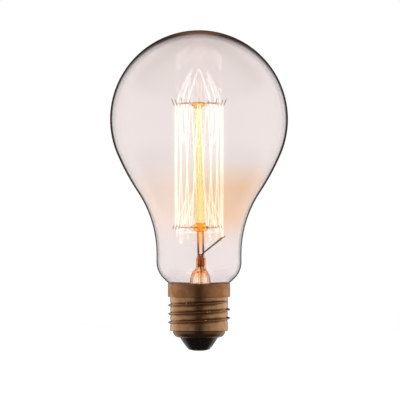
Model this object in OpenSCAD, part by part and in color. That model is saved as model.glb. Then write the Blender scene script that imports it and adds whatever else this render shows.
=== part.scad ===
// Filament lamp with a screw cap.
// A clear pear-shaped bulb stands over a cage of incandescent wire. The wire hangs on
// hooks around a glass rod, and the glass is cemented into a rolled brass cap.
// Millimetres, +Z up. The origin is on the cap's axis, at the face of the end contact.
// Directions around the axis are angles from the front, -Y, towards the right, +X.

/* [Bulb glass] */
// Widest diameter of the bulb
bulb_d = 75; // [68:1:82]
// Slope where the ball passes into the flank, from upright
belly_angle = 23.2; // [21:0.2:25]
// Slope where the flank passes into the throat, from upright
flank_angle = 33.7; // [32:0.1:35]
// Radius of the hollow curve between flank and neck
throat_r = 47; // [42:1:52]
// Diameter of the straight neck
neck_d = 35.8; // [34:0.2:38]
// Length of the straight neck
neck_h = 3.2; // [1:0.2:6]
// Radius of the shoulder that turns in under the neck
shoulder_r = 9.9; // [8.5:0.1:11]
// Slope of the shoulder where it enters the cap, from upright
shoulder_angle = 47.5; // [44:0.5:50]
// Diameter of the glass inside the cap
root_d = 21; // [20:0.2:21.6]
// Depth of the glass inside the cap
root_depth = 11.9; // [11:0.1:13]
// Radius of the hollow curve between shoulder and root
root_fillet = 2; // [1.5:0.1:2.5]
// Wall of the flanks, neck and root
glass_wall = 0.7; // [0.5:0.05:0.9]
// Wall at the crown, where the blown glass is thickest
crown_wall = 1.3; // [1:0.1:1.6]

/* [Stem] */
// Outer diameter of the stem tube
stem_d = 8.8; // [8.4:0.1:9.6]
// Wall of the stem tube and its flare
stem_wall = 0.8; // [0.6:0.05:0.9]
// Radius of the flare at the stem's foot
flare_r = 5; // [4:0.1:5.4]
// Height of the stem tube from the flare's rim to its dome
stem_h = 12; // [10:0.5:14]
// Height of the dome under the pinch
dome_h = 4; // [3:0.25:5]
// Outer diameter of the dome's top
dome_top_d = 7; // [6.9:0.1:7.6]
// Height of the pinched glass
pinch_h = 7; // [6:0.25:8]
// Height over which the round stem turns into the flat pinch
pinch_turn_h = 2.9; // [2.4:0.1:3.4]
// Width of the pinch, front to back
pinch_w = 7.4; // [6.6:0.1:8]
// Thickness of the pinch
pinch_t = 4; // [3.8:0.1:4.4]
// Sideways shift of the hand-pressed pinch
pinch_offset = 0.8; // [0:0.1:0.9]
// Outer diameter of the pump tube
pump_tube_d = 2.1; // [1.9:0.1:2.6]
// Wall of the pump tube
pump_tube_wall = 0.5; // [0.4:0.05:0.6]
// Height of the pump tube's sealed tip above the bulb's lower rim
pump_tip_rise = -3.4; // [-3.8:0.1:-2.8]

/* [Support rod] */
// Diameter of the glass rod
rod_d = 2.9; // [2.6:0.1:3.1]
// Lean of the rod to the left
rod_lean = 1; // [0:0.1:1.3]
// Depth of the rod's foot in the pinch
rod_seat = 1.5; // [1:0.1:2]
// Diameter of the lower glass button
lower_button_d = 6; // [5.6:0.1:6.6]
// Height of the lower glass button
lower_button_h = 3.8; // [3.2:0.1:4.4]
// Diameter of the upper glass button
upper_button_d = 5.5; // [5.2:0.1:6.4]
// Height of the upper glass button
upper_button_h = 2.7; // [2.4:0.1:3.2]

/* [Filament cage] */
// Number of hooks in the upper ring
upper_hook_count = 9; // [7:1:10]
// Radius of the cage
cage_r = 10.1; // [9.4:0.1:11]
// Height of the lower bends above the pinch
lower_ring_h = 13.8; // [12:0.2:15]
// Height of the cage, from lower to upper bends
cage_h = 50; // [44:0.2:54]
// Direction of the gap between the first and the last strand
gap_angle = 100; // [90:1:110]
// Diameter of the coiled filament
filament_d = 0.44; // [0.3:0.02:0.46]
// Diameter of the hook wire
hook_wire_d = 0.3; // [0.25:0.01:0.34]
// Radius of the seat bent into each hook
hook_seat_r = 0.6; // [0.56:0.01:0.7]
// Height of the hook wire beside its seat
hook_rise = 1.2; // [1.1:0.05:1.5]
// Length of the free end of an upper hook
upper_hook_tip = 2.8; // [2:0.1:3.2]
// Length of the free end of a lower hook
lower_hook_tip = 1.7; // [1.2:0.1:2.2]
// Running gap between the filament and the wire that holds it
filament_gap = 0.08; // [0.07:0.01:0.12]

/* [Lead wires] */
// Diameter of the nickel leads inside the bulb
inner_lead_d = 0.55; // [0.45:0.01:0.6]
// Diameter of the seal wires in the pinch
seal_wire_d = 0.5; // [0.4:0.02:0.54]
// Diameter of the copper leads inside the cap
outer_lead_d = 0.4; // [0.3:0.02:0.44]
// Diameter of the fuse wire
fuse_d = 0.24; // [0.18:0.02:0.28]
// Length of the fuse wire
fuse_h = 6; // [5:0.25:7]
// Distance between the two leads, front to back
lead_spacing = 4.5; // [4.3:0.05:4.6]
// Drop of the filament's clamped ends under the lower bends
clamp_drop = 5.5; // [4.5:0.1:6.5]
// Angle between each clamped end and the middle of the gap
clamp_spread = 6; // [6:0.5:9]

/* [Screw cap] */
// Diameter of the plain collar
collar_d = 26.2; // [26:0.05:26.6]
// Height of the plain collar
collar_h = 5.7; // [5:0.1:6.5]
// Thickness of the brass sheet
sheet = 0.3; // [0.24:0.01:0.34]
// Diameter over the thread's ridges
thread_d = 26.3; // [26.05:0.05:26.45]
// Diameter between the ridges
thread_root_d = 24.26; // [24.2:0.02:24.4]
// Pitch of the thread
thread_pitch = 3.629; // [3.5:0.01:3.75]
// Number of thread turns
thread_turns = 3; // [2:1:4]
// Share of the pitch that a ridge takes
ridge_share = 0.46; // [0.4:0.02:0.56]
// Hollow beside each ridge
ridge_hollow = 0.36; // [0.1:0.02:0.4]
// Diameter of the turned-in lip
lip_d = 22; // [21.6:0.1:22.6]
// Height of the turned-in lip
lip_h = 2.95; // [2.9:0.05:3.3]
// Radius of the lip's turn
lip_round = 2.7; // [2.2:0.1:2.7]

/* [Insulator and contact] */
// Height of the insulator that shows under the lip
insulator_h = 4.6; // [4:0.1:5.4]
// Diameter of the insulator at the contact
insulator_foot_d = 9.7; // [9.5:0.1:10.6]
// Diameter of the insulator at the lip
insulator_top_d = 16; // [14:0.1:16.4]
// Height of the insulator's core inside the lip
insulator_core_h = 1.7; // [1.4:0.1:2]
// Diameter of the end contact
contact_d = 9.2; // [8.6:0.1:9.4]
// Diameter of the contact's flat face
contact_flat_d = 4; // [3.6:0.1:5]
// Radius of the contact's domed edge
contact_dome_r = 13; // [11:0.5:16]
// Thickness of the contact's sheet
contact_sheet = 0.35; // [0.3:0.01:0.45]
// Bore of the contact's eyelet
eyelet_bore = 1.9; // [1.6:0.05:2.1]
// Diameter of the eyelet's clenched end
eyelet_head_d = 4.4; // [4:0.1:5]
// Height of the solder in the eyelet
contact_solder_h = 1.3; // [1:0.1:1.6]

/* [Cement and side joint] */
// Height of the cement ring
cement_h = 4.4; // [4.2:0.1:4.6]
// Depth of the cement under the cap's rim
cement_drop = 0.25; // [0.2:0.05:0.3]
// Width of the notch in the rim that takes the side lead
notch_w = 1.6; // [1.4:0.1:2]
// Depth of the notch
notch_h = 1.6; // [1.4:0.1:1.8]
// Radius of the solder drop over the notch
side_solder_r = 1.5; // [1.35:0.05:1.7]
// Thickness of the solder outside the collar, where it is pressed flat
side_solder_flat = 0.15; // [0.1:0.01:0.2]
// Clearance between the cap's rim and the glass
rim_gap = 0.08; // [0.06:0.01:0.2]

/* [Hidden] */
$fn = 96;

hook_numbers = [1:upper_hook_count];
lower_hook_count = upper_hook_count - 1;

bulb_r = bulb_d / 2;
neck_r = neck_d / 2;
root_r = root_d / 2;
collar_r = collar_d / 2;
collar_bore_r = collar_r - sheet;
thread_r = thread_d / 2;
thread_root_r = thread_root_d / 2;
lip_r = lip_d / 2;
hook_r = hook_wire_d / 2;
filament_r = filament_d / 2;
inner_lead_r = inner_lead_d / 2;
outer_lead_r = outer_lead_d / 2;
rod_r = rod_d / 2;

// Levels of the cap, from the end contact up
contact_rise = contact_drop(contact_d / 2);
insulator_z = contact_rise + contact_sheet;
lip_z = insulator_z + insulator_h;
thread_z = lip_z + lip_h;
thread_rows = [0.14, 0.24, 0.32, 0.41, 0.5, 0.59, 0.68, 0.76, 0.86, 1];
thread_edge = 0.2;
thread_start = thread_z + thread_edge - thread_pitch * thread_rows[0];
thread_top = thread_start + thread_pitch * (thread_turns + 1 - thread_rows[0]) + 3 * thread_edge;
collar_z = thread_top - thread_edge;
rim_z = collar_z + collar_h;

// Levels of the glass, from the cap's rim up
shoulder_end_r = neck_r - shoulder_r * (1 - cos(shoulder_angle));
shoulder_entry_r = collar_bore_r - rim_gap;
shoulder_end_z = rim_z + (shoulder_end_r - shoulder_entry_r) / tan(shoulder_angle);
shoulder_z = shoulder_end_z + shoulder_r * sin(shoulder_angle);
throat_z = shoulder_z + neck_h;
flank_foot_r = neck_r + throat_r * (1 - cos(flank_angle));
flank_r = (bulb_r * cos(belly_angle) - flank_foot_r) / (cos(belly_angle) - cos(flank_angle));
flank_x = flank_foot_r - flank_r * cos(flank_angle);
flank_z = throat_z + (throat_r + flank_r) * sin(flank_angle);
ball_z = flank_z - (flank_r - bulb_r) * sin(belly_angle);
root_z = rim_z - root_depth;
root_fillet_z = rim_z - root_fillet * sin(shoulder_angle)
    - (shoulder_entry_r - root_r - root_fillet * (1 - cos(shoulder_angle))) / tan(shoulder_angle);

// The inner ball sits lower than the outer one, so that the crown is thicker than the flanks
crown_shift = (crown_wall - glass_wall) / (1 + sin(belly_angle));

// Levels of the stem, from the bulb's lower rim up
dome_z = root_z + stem_h;
pinch_z = dome_z + dome_h;
pinch_top = pinch_z + pinch_h;
pump_socket = 1;
pump_port_d = 1.2;
pump_port_z = pinch_z + pump_socket + 0.8;

// Levels of the cage, from the pinch up
lower_ring_z = pinch_top + lower_ring_h;
upper_ring_z = lower_ring_z + cage_h;
lower_button_z = lower_ring_z - hook_rise;
upper_button_z = upper_ring_z + hook_rise;
upper_button_top = 0.45;
rod_top_drop = 0.8;
hook_root_r = rod_r + 0.2;
hook_step = 180 / upper_hook_count;
bend_r = hook_r + filament_r + filament_gap;
clamp_z = lower_ring_z - clamp_drop;
clamp_gap = inner_lead_r + filament_r + filament_gap;

// Levels of the wiring inside the cap
fuse_top = pinch_z - 5;
lead_turn_z = root_z - stem_wall - 1.4;
side_run_r = root_r + 0.55;
side_joint_z = rim_z - notch_h + outer_lead_r + 0.3;
eyelet_r = eyelet_bore / 2 + contact_sheet;
eyelet_top = lip_z + insulator_core_h;

upper_hook_nodes = [for (i = [1:upper_hook_count]) str("upper_hook_", i)];
lower_hook_nodes = [for (i = [1:lower_hook_count]) str("lower_hook_", i)];

// Points on an arc about (x, y), from angle a0 to a1
function arc(x, y, r, a0, a1, steps) =
    [for (i = [0:steps]) let (a = a0 + (a1 - a0) * i / steps) [x + r * cos(a), y + r * sin(a)]];

function unit(v) = v / norm(v);

// A place on the circle of radius r at a direction around the axis
function around(angle, r, z) = [r * sin(angle), -r * cos(angle), z];

// A route through corner points, each corner eased by a curve that starts reach away from it
function eased(corners, reach, steps = 4) = concat(
    [corners[0]],
    [
        for (i = [1:len(corners) - 2])
            let (
                p = corners[i],
                a = p + reach * unit(corners[i - 1] - p),
                b = p + reach * unit(corners[i + 1] - p)
            )
            for (k = [0:steps])
                let (s = k / steps) (1 - s) * (1 - s) * a + 2 * s * (1 - s) * p + s * s * b
    ],
    [corners[len(corners) - 1]]
);

// Directions of travel along a route, one for each of its points
function headings(route) = [
    for (i = [0:len(route) - 1])
        unit(route[min(i + 1, len(route) - 1)] - route[max(i - 1, 0)])
];

// Sideways directions that turn as little as possible along the route
function sideways(heads, first) = [
    for (
        i = 0, u = unit(first - heads[0] * (first * heads[0]));
        i < len(heads);
        i = i + 1,
        u = i < len(heads) ? unit(u - heads[i] * (u * heads[i])) : u
    ) u
];

// A round wire along a route
module wire(route, r, sides = 8, first = [1, 0.1, 0.2]) {
    heads = headings(route);
    us = sideways(heads, first);
    rings = len(route);
    points = [
        for (i = [0:rings - 1])
            let (u = us[i], v = cross(heads[i], u))
            for (k = [0:sides - 1])
                let (a = 360 * k / sides) route[i] + r * cos(a) * u + r * sin(a) * v
    ];
    skin = [
        for (i = [0:rings - 2], k = [0:sides - 1])
            let (
                a = i * sides + k,
                b = i * sides + (k + 1) % sides,
                c = b + sides,
                d = a + sides
            )
            each [[a, d, c], [a, c, b]]
    ];
    last = (rings - 1) * sides;
    ends = [for (k = [1:sides - 2]) each [[0, k, k + 1], [last, last + k + 1, last + k]]];
    polyhedron(points, concat(skin, ends), convexity = 10);
}

// A list of points without those that repeat the one before
function distinct(points) = [
    for (i = [0:len(points) - 1])
        if (i == 0 || norm(points[i] - points[i - 1]) > 0.01) points[i]
];

// One face of the bulb's wall, from the crown down to the lower rim: ball, flank, throat,
// shoulder and root, each curve tangent to the next.
// off is the depth of the face in the wall, and drop the shift of its ball.
function bulb_face(off, drop) =
    let (
        reach = norm([flank_x, flank_z - ball_z + drop]),
        belly = acos(-flank_x / reach)
    )
    distinct(concat(
        arc(0, ball_z - drop, flank_r - off - reach, 90, -belly, 38),
        arc(flank_x, flank_z, flank_r - off, -belly, -flank_angle, 6),
        arc(neck_r + throat_r, throat_z, throat_r + off, 180 - flank_angle, 180, 12),
        arc(neck_r - shoulder_r, shoulder_z, shoulder_r - off, 0, -shoulder_angle, 8),
        arc(root_r + root_fillet, root_fillet_z, root_fillet + off, 180 - shoulder_angle, 180, 6),
        [[root_r - off, root_z]]
    ));

function reversed(list) = [for (i = [len(list) - 1:-1:0]) list[i]];

module glass_envelope() {
    outer = bulb_face(0, 0);
    inner = bulb_face(glass_wall, crown_shift);
    color([0.86, 0.84, 0.84, 0.3])
        rotate_extrude()
            polygon(concat(outer, reversed(inner)));
}

// One face of the stem, from the flare's rim to the top of its dome
function stem_face(off) =
    let (
        tube_r = stem_d / 2,
        in_r = tube_r - dome_top_d / 2,
        dome_r = (dome_h * dome_h + in_r * in_r) / (2 * in_r),
        dome_angle = asin(dome_h / dome_r)
    )
    concat(
        [[root_r, root_z - off]],
        arc(tube_r + flare_r, root_z + flare_r, flare_r + off, 270, 180, 10),
        arc(tube_r - dome_r, dome_z, dome_r - off, 0, dome_angle, 8)
    );

module stem_flare() {
    outer = stem_face(0);
    inner = stem_face(stem_wall);
    top_r = inner[len(inner) - 1].x;
    color([0.8, 0.8, 0.8, 0.35])
        rotate_extrude()
            polygon(concat(outer, [[top_r, pinch_z]], reversed(inner)));
}

// The pump tube is open at the top, inside the pinch, and melted shut at its tip
module pump_tube() {
    r = pump_tube_d / 2;
    bore_r = r - pump_tube_wall;
    tip_z = root_z + pump_tip_rise;
    taper_h = 2;
    color([0.8, 0.8, 0.8, 0.35])
        translate([pinch_offset, 0, 0])
            rotate_extrude()
                polygon(concat(
                    [[0, tip_z]],
                    arc(0, tip_z + bore_r, bore_r, -60, 0, 4),
                    [[r, tip_z + bore_r + taper_h], [r, pinch_z + pump_socket]],
                    [[bore_r, pinch_z + pump_socket], [bore_r, tip_z + bore_r + taper_h]],
                    [[0, tip_z + 2 * bore_r]]
                ));
}

function rod_x(z) = pinch_offset - (z - pinch_top) * tan(rod_lean);

// Places a shape on the leaning rod's axis at a height
module on_rod(z) {
    translate([rod_x(z), 0, z])
        rotate([0, -rod_lean, 0])
            children();
}

module rod_shape() {
    on_rod(pinch_top)
        translate([0, 0, -rod_seat])
            cylinder(h = rod_seat + (upper_button_z - pinch_top) / cos(rod_lean) - rod_top_drop, r = rod_r);
}

module support_rod() {
    color([0.93, 0.9, 0.7, 0.6]) rod_shape();
}

// A slab of the pinch: a flat oval, front to back
module pinch_slab(w, t, z0, z1) {
    for (side = [-1, 1])
        translate([pinch_offset, side * (w - t) / 2, z0])
            cylinder(h = z1 - z0, d = t, $fn = 32);
}

// Bores for the two seal wires
module seal_bores() {
    for (side = [-1, 1])
        translate([pinch_offset, side * lead_spacing / 2, pinch_z - 1])
            cylinder(h = pinch_h + 2, d = seal_wire_d);
}

module stem_pinch() {
    edge = 0.5;
    pump_bore_r = pump_tube_d / 2 - pump_tube_wall;
    color([0.75, 0.7, 0.65, 0.5])
        difference() {
            hull() {
                translate([0, 0, pinch_z]) cylinder(h = 0.2, d = dome_top_d, $fn = 48);
                pinch_slab(pinch_w, pinch_t, pinch_z + pinch_turn_h, pinch_top - edge);
                pinch_slab(pinch_w - 2 * edge, pinch_t - 2 * edge, pinch_top - 1, pinch_top);
            }
            seal_bores();
            rod_shape();
            translate([pinch_offset, 0, 0]) {
                translate([0, 0, pinch_z - 1]) cylinder(h = 1 + pump_socket, d = pump_tube_d);
                translate([0, 0, pinch_z]) cylinder(h = pump_port_z - pinch_z, r = pump_bore_r);
                translate([0, 0, pump_port_z])
                    rotate([0, -90, 0])
                        cylinder(h = pinch_w, d = pump_port_d);
            }
        }
}

// Bore in a button for the foot of one hook
module hook_bore(angle, ring_z, z) {
    centre = [rod_x(z), 0, z];
    out = unit(around(angle, cage_r, z) - centre);
    translate(centre + hook_root_r * out)
        rotate([0, 90, atan2(out.y, out.x)])
            cylinder(h = lower_button_d, r = hook_r);
}

// A bead of glass melted around the rod, in which the lower hooks are set
module lower_button() {
    half = lower_button_h / 2;
    swell = lower_button_d / 2 - rod_r;
    color([0.95, 0.65, 0.25, 0.8])
        difference() {
            on_rod(lower_button_z)
                rotate_extrude()
                    polygon(concat(
                        [[0, -half]],
                        [for (a = [-90:15:90]) [rod_r + swell * cos(a), half * sin(a)]],
                        [[0, half]]
                    ));
            rod_shape();
            for (i = [1:lower_hook_count])
                hook_bore(lower_hook_angle(i), lower_ring_z, lower_button_z);
        }
}

// The rod's melted head, in which the upper hooks are set
module upper_button() {
    r = upper_button_d / 2;
    round_r = 0.7;
    color([0.95, 0.65, 0.25, 0.8])
        difference() {
            on_rod(upper_button_z)
                rotate_extrude()
                    polygon(concat(
                        [[0, upper_button_top - upper_button_h]],
                        [[rod_r, upper_button_top - upper_button_h]],
                        [[rod_r + 0.35, upper_button_top - upper_button_h + 0.6]],
                        arc(r - round_r, upper_button_top - round_r, round_r, -40, 80, 8),
                        [[0, upper_button_top + 0.1]]
                    ));
            rod_shape();
            for (i = [1:upper_hook_count])
                hook_bore(upper_hook_angle(i), upper_ring_z, upper_button_z);
        }
}

// The filament passes upper and lower hooks in turn, half a step apart, from the gap round
function upper_hook_angle(i) = gap_angle - hook_step * (2 * i - 1);
function lower_hook_angle(i) = gap_angle - hook_step * 2 * i;

// Route of a hook's wire: straight out of its button, into the seat, and up the free end.
// way is 1 for an upper hook and -1 for a lower one, which is the same shape upside down.
function hook_route(angle, ring_z, tip, way) =
    let (
        leg_in = 55,
        leg_out = 68,
        start = [rod_x(ring_z + way * hook_rise), 0, ring_z + way * hook_rise],
        foot = around(angle, cage_r, ring_z),
        reach = [foot.x - start.x, foot.y - start.y, 0],
        out = unit(reach),
        up = [0, 0, way],
        seat = [
            for (a = [-leg_in, -leg_in / 2, 0, leg_out / 2, leg_out])
                foot + hook_seat_r * (sin(a) * out + (1 - cos(a)) * up)
        ],
        run = (hook_rise - hook_seat_r * (1 - cos(leg_in))) / tan(leg_in),
        crook = seat[0] - run * out + (hook_rise - hook_seat_r * (1 - cos(leg_in))) * up,
        bend = eased([start + hook_root_r * out, crook, seat[0]], 0.35, 2),
        end = seat[len(seat) - 1] + tip * (cos(leg_out) * out + sin(leg_out) * up)
    )
    concat([for (i = [0:len(bend) - 2]) bend[i]], seat, [end]);

module hook(angle, ring_z, tip, way) {
    color([0.45, 0.4, 0.36])
        wire(hook_route(angle, ring_z, tip, way), hook_r, sides = 6, first = [0, 0, 1]);
}

module upper_hook(i) {
    hook(upper_hook_angle(i), upper_ring_z, upper_hook_tip, 1);
}

module lower_hook(i) {
    hook(lower_hook_angle(i), lower_ring_z, lower_hook_tip, -1);
}

// The filament's bend round a hook, in the upright plane across the hook's wire
function filament_bend(angle, ring_z, way) =
    let (centre = around(angle, cage_r, ring_z), along = -[cos(angle), sin(angle), 0])
    [
        for (a = [0:30:180])
            centre + bend_r * (-cos(a) * along + way * sin(a) * [0, 0, 1])
    ];

first_end = around(gap_angle - clamp_spread, cage_r, clamp_z);
last_end = around(gap_angle + clamp_spread, cage_r, clamp_z);

// The filament runs past its clamps by a short tail
function filament_tail(hook_bend_point, end) = end + unit(end - hook_bend_point);

function filament_route() =
    let (
        bends = [
            for (i = [1:upper_hook_count])
                each concat(
                    filament_bend(upper_hook_angle(i), upper_ring_z, 1),
                    i < upper_hook_count ? filament_bend(lower_hook_angle(i), lower_ring_z, -1) : []
                )
        ]
    )
    concat(
        [filament_tail(bends[0], first_end)],
        bends,
        [filament_tail(bends[len(bends) - 1], last_end)]
    );

// Points spaced along a route, for measuring
function spaced(route, step) = [
    for (i = [0:len(route) - 2])
        let (n = max(1, ceil(norm(route[i + 1] - route[i]) / step)))
        for (k = [0:n - 1]) route[i] + (route[i + 1] - route[i]) * k / n
];

// Least distance between two stretches of a wire that aren't neighbours
function least_gap(points, near, d) = min([
    for (i = [0:len(points) - 1 - near], k = [i + near:len(points) - 1])
        norm(points[i] - points[k])
]) - d;

module filament() {
    route = filament_route();
    echo("least gap of the filament to itself, in mm", least_gap(spaced(route, 1), 6, filament_d));
    color([1, 0.85, 0.5]) wire(route, filament_r, sides = 8, first = [0, 1, 0]);
}

// A nickel lead rises from the pinch and folds round the filament's end to clamp it
function inner_lead_route(side, end) =
    let (
        foot = [pinch_offset, side * lead_spacing / 2, pinch_top],
        rise = foot + [0, 0, 0.9],
        dir = unit(end - rise),
        across = unit(cross(dir, [0, 0, 1])),
        fold = end + 0.3 * dir,
        turn = [
            for (a = [0:30:180])
                fold + clamp_gap * (-side * cos(a) * across + sin(a) * dir)
        ],
        arm = end - side * clamp_gap * across - 0.9 * dir
    )
    concat(
        eased([foot, rise, arm, turn[0]], 0.5, 3),
        turn,
        [turn[len(turn) - 1] - 1.2 * dir]
    );

module inner_lead(side, end) {
    color([0.5, 0.43, 0.36]) wire(distinct(inner_lead_route(side, end)), inner_lead_r);
}

module seal_wire(side) {
    color([0.5, 0.16, 0.1])
        translate([pinch_offset, side * lead_spacing / 2, pinch_z])
            cylinder(h = pinch_h, d = seal_wire_d);
}

module centre_lead_upper() {
    foot = [pinch_offset, -lead_spacing / 2, pinch_z];
    color([0.72, 0.42, 0.25])
        wire([foot, [foot.x, foot.y, fuse_top]], outer_lead_r);
}

module fuse_wire() {
    top = [pinch_offset, -lead_spacing / 2, fuse_top];
    color([0.6, 0.6, 0.58])
        wire([top, top - [0, 0, fuse_h]], fuse_d / 2);
}

module centre_lead_lower() {
    top = [pinch_offset, -lead_spacing / 2, fuse_top - fuse_h];
    color([0.72, 0.42, 0.25])
        wire(eased([
            top,
            [top.x, top.y, lead_turn_z],
            [0, 0, eyelet_top + 1.5],
            [0, 0, contact_solder_h / 3]
        ], 1), outer_lead_r);
}

// The side lead drops inside the stem, passes under the bulb's rim and climbs to the notch
module side_lead() {
    top = [pinch_offset, lead_spacing / 2, pinch_z];
    bend_z = side_joint_z - 1.8;
    color([0.72, 0.42, 0.25])
        wire(eased([
            top,
            [top.x, top.y, lead_turn_z],
            [0, side_run_r, lead_turn_z],
            [0, side_run_r, bend_z],
            [0, collar_bore_r - 0.6, side_joint_z],
            [0, collar_bore_r, side_joint_z]
        ], 0.3), outer_lead_r);
}

// Radius across one pitch of the thread, v from 0 to 1: a swelling barrel with a narrow
// ridge in its middle, and a shallow hollow on each side of the ridge
function thread_profile(v) =
    let (
        hollow = ridge_hollow * (1 - cos(360 * v)) / 2,
        off = abs(v - 0.5) / ridge_share,
        ridge = off < 0.5 ? (1 + cos(360 * off)) / 2 : 0,
        ridge_h = thread_r - thread_root_r + ridge_hollow
    )
    thread_root_r - hollow + ridge_h * ridge;

// The rolled thread: one helical band of sheet, whose rows of points follow the ridge.
// The ridge rises out of a plain barrel and sinks back into it at its other end.
module thread_band() {
    steps = 48;
    run_out = 60;
    per = len(thread_rows);
    last_row = per * thread_turns - 2;
    turn_end = 360 * thread_turns;
    place = function (row, i, inset)
        let (
            pitch_no = floor(row / per),
            v = thread_rows[row % per],
            a = 360 * i / steps,
            t = 360 * pitch_no + a,
            fade = max(0, min(1, t / run_out, (turn_end - t) / run_out)),
            r = thread_root_r + fade * (thread_profile(v) - thread_root_r) - inset
        )
        [r * cos(a), r * sin(a), thread_start + thread_pitch * (pitch_no + v + i / steps)];
    ring = function (z, inset)
        [for (i = [0:steps - 1]) let (a = 360 * i / steps, r = thread_root_r - inset) [r * cos(a), r * sin(a), z]];
    face_points = function (inset) concat(
        [for (row = [0:last_row], i = [0:steps - 1]) place(row, i, inset)],
        [for (row = [last_row + 1:last_row + per]) place(row, 0, inset)],
        ring(thread_z, inset),
        ring(thread_top, inset)
    );
    grid = (last_row + 1) * steps;
    low = grid + per;
    high = low + steps;
    at = function (row, i)
        i == steps ? (row + per <= last_row ? (row + per) * steps : grid + row + per - last_row - 1)
        : row <= last_row ? row * steps + i : grid + row - last_row - 1;
    quad = function (a, b, c, d) [[a, d, c], [a, c, b]];
    skin = concat(
        [for (row = [0:last_row - 1], i = [0:steps - 1])
            each quad(at(row, i), at(row, i + 1), at(row + 1, i + 1), at(row + 1, i))],
        [for (i = [0:steps - 2]) each quad(low + i, low + i + 1, at(0, i + 1), at(0, i))],
        [[low + steps - 1, at(0, steps - 1), low], [at(0, steps - 1), at(0, 0), low]],
        [for (row = [0:per - 1]) [at(0, steps - 1), at(row + 1, 0), at(row, 0)]],
        [for (row = [last_row:last_row + per - 1]) [at(row, 0), at(row + 1, 0), at(last_row, 1)]],
        [[at(last_row + per, 0), high, at(last_row, 1)], [high, high + 1, at(last_row, 1)]],
        [for (i = [1:steps - 1])
            each quad(at(last_row, i), at(last_row, i + 1), high + (i + 1) % steps, high + i)]
    );
    count = high + steps;
    lining = [for (f = skin) [f[0] + count, f[2] + count, f[1] + count]];
    ends = [
        for (i = [0:steps - 1])
            let (k = (i + 1) % steps)
            each [
                [low + i, low + k, low + k + count],
                [low + i, low + k + count, low + i + count],
                [high + k, high + i, high + i + count],
                [high + k, high + i + count, high + k + count]
            ]
    ];
    polyhedron(concat(face_points(0), face_points(sheet)), concat(skin, lining, ends), convexity = 12);
}

// The plain collar over the thread, with a step at its foot that holds the thread's end
module collar() {
    step = 0.45;
    round_r = 0.12;
    difference() {
        rotate_extrude()
            polygon(concat(
                [[thread_root_r - sheet - 0.12, collar_z], [collar_r, collar_z]],
                arc(collar_r - round_r, rim_z - round_r, round_r, 0, 90, 3),
                [[collar_bore_r, rim_z], [collar_bore_r, collar_z + step]],
                [[thread_root_r - sheet - 0.12, collar_z + step]]
            ));
        translate([-notch_w / 2, collar_bore_r - 1, rim_z - notch_h])
            cube([notch_w, 2, notch_h + 1]);
    }
}

// The lip turned in under the thread to hold the insulator
module lip() {
    step = 0.15;
    turn_r = lip_r - lip_round;
    turn_z = lip_z + lip_round;
    bead_r = thread_root_r + 0.05;
    rotate_extrude()
        polygon(distinct(concat(
            arc(turn_r, turn_z, lip_round, -90, 0, 8),
            [[lip_r, thread_z - step], [bead_r - 0.3, thread_z - step], [bead_r, thread_z - 0.02]],
            [[bead_r, thread_z + step], [lip_r - sheet, thread_z + step]],
            arc(turn_r, turn_z, lip_round - sheet, 0, -90, 8)
        )));
}

module screw_shell() {
    color([0.66, 0.47, 0.28]) {
        union() {
            collar();
            thread_band();
            lip();
        }
    }
}

// Height of the contact's face at a radius: flat in the middle and domed outside
function contact_drop(r) =
    let (flat_r = contact_flat_d / 2)
    r <= flat_r ? 0
    : sqrt(pow(contact_dome_r, 2) - pow(flat_r, 2)) - sqrt(pow(contact_dome_r, 2) - pow(r, 2));

function contact_curve(lift) =
    let (flat_r = contact_flat_d / 2, edge_r = contact_d / 2)
    [
        for (i = [0:6])
            let (r = flat_r + (edge_r - flat_r) * i / 6) [r, contact_drop(r) + lift]
    ];

// Black glass poured between the lip and the contact
module insulator() {
    turn_r = lip_r - lip_round;
    turn_z = lip_z + lip_round;
    core_r = eyelet_head_d / 2 + 0.5;
    color([0.1, 0.09, 0.1])
        rotate_extrude()
            polygon(concat(
                [[eyelet_r, contact_sheet]],
                contact_curve(contact_sheet),
                [[insulator_foot_d / 2, insulator_z], [insulator_top_d / 2, lip_z], [turn_r, lip_z]],
                arc(turn_r, turn_z, lip_round - sheet, -90, 0, 8),
                [[core_r + 2, turn_z], [core_r, eyelet_top], [eyelet_r, eyelet_top]]
            ));
}

// The end contact is a domed brass disc drawn into an eyelet, clenched over the insulator
module centre_contact() {
    bore_r = eyelet_bore / 2;
    color([0.62, 0.45, 0.28])
        rotate_extrude()
            polygon(concat(
                [[bore_r, 0]],
                contact_curve(0),
                reversed(contact_curve(contact_sheet)),
                [[eyelet_r, contact_sheet], [eyelet_r, eyelet_top], [eyelet_head_d / 2, eyelet_top]],
                [[eyelet_head_d / 2, eyelet_top + contact_sheet], [bore_r, eyelet_top + contact_sheet]]
            ));
}

// Solder that fills the eyelet flush with the contact
module contact_solder() {
    bore_r = eyelet_bore / 2;
    color([0.6, 0.6, 0.6])
        difference() {
            rotate_extrude()
                polygon([[0, 0], [bore_r, 0], [bore_r, contact_solder_h - 0.3], [0, contact_solder_h]]);
            translate([0, 0, contact_solder_h / 3]) cylinder(h = contact_solder_h, r = outer_lead_r);
        }
}

// Solder drop that closes the notch and joins the side lead to the collar, pressed flat outside
module side_solder() {
    color([0.6, 0.6, 0.6]) {
        difference() {
            union() {
                intersection() {
                    translate([0, collar_r - side_solder_r / 2, rim_z - side_solder_r / 2])
                        sphere(r = side_solder_r);
                    translate([-2, collar_bore_r, rim_z - 4]) cube([4, 4, 4]);
                    translate([0, 0, rim_z - 4]) cylinder(h = 4, r = collar_r + side_solder_flat);
                }
                translate([-notch_w / 2, collar_bore_r, rim_z - notch_h])
                    cube([notch_w, sheet, notch_h - rim_gap]);
            }
            difference() {
                translate([0, 0, rim_z - 5]) cylinder(h = 6, r = collar_r);
                translate([-notch_w / 2, 0, rim_z - notch_h]) cube([notch_w, 2 * collar_r, notch_h + 2]);
            }
        }
    }
}

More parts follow.
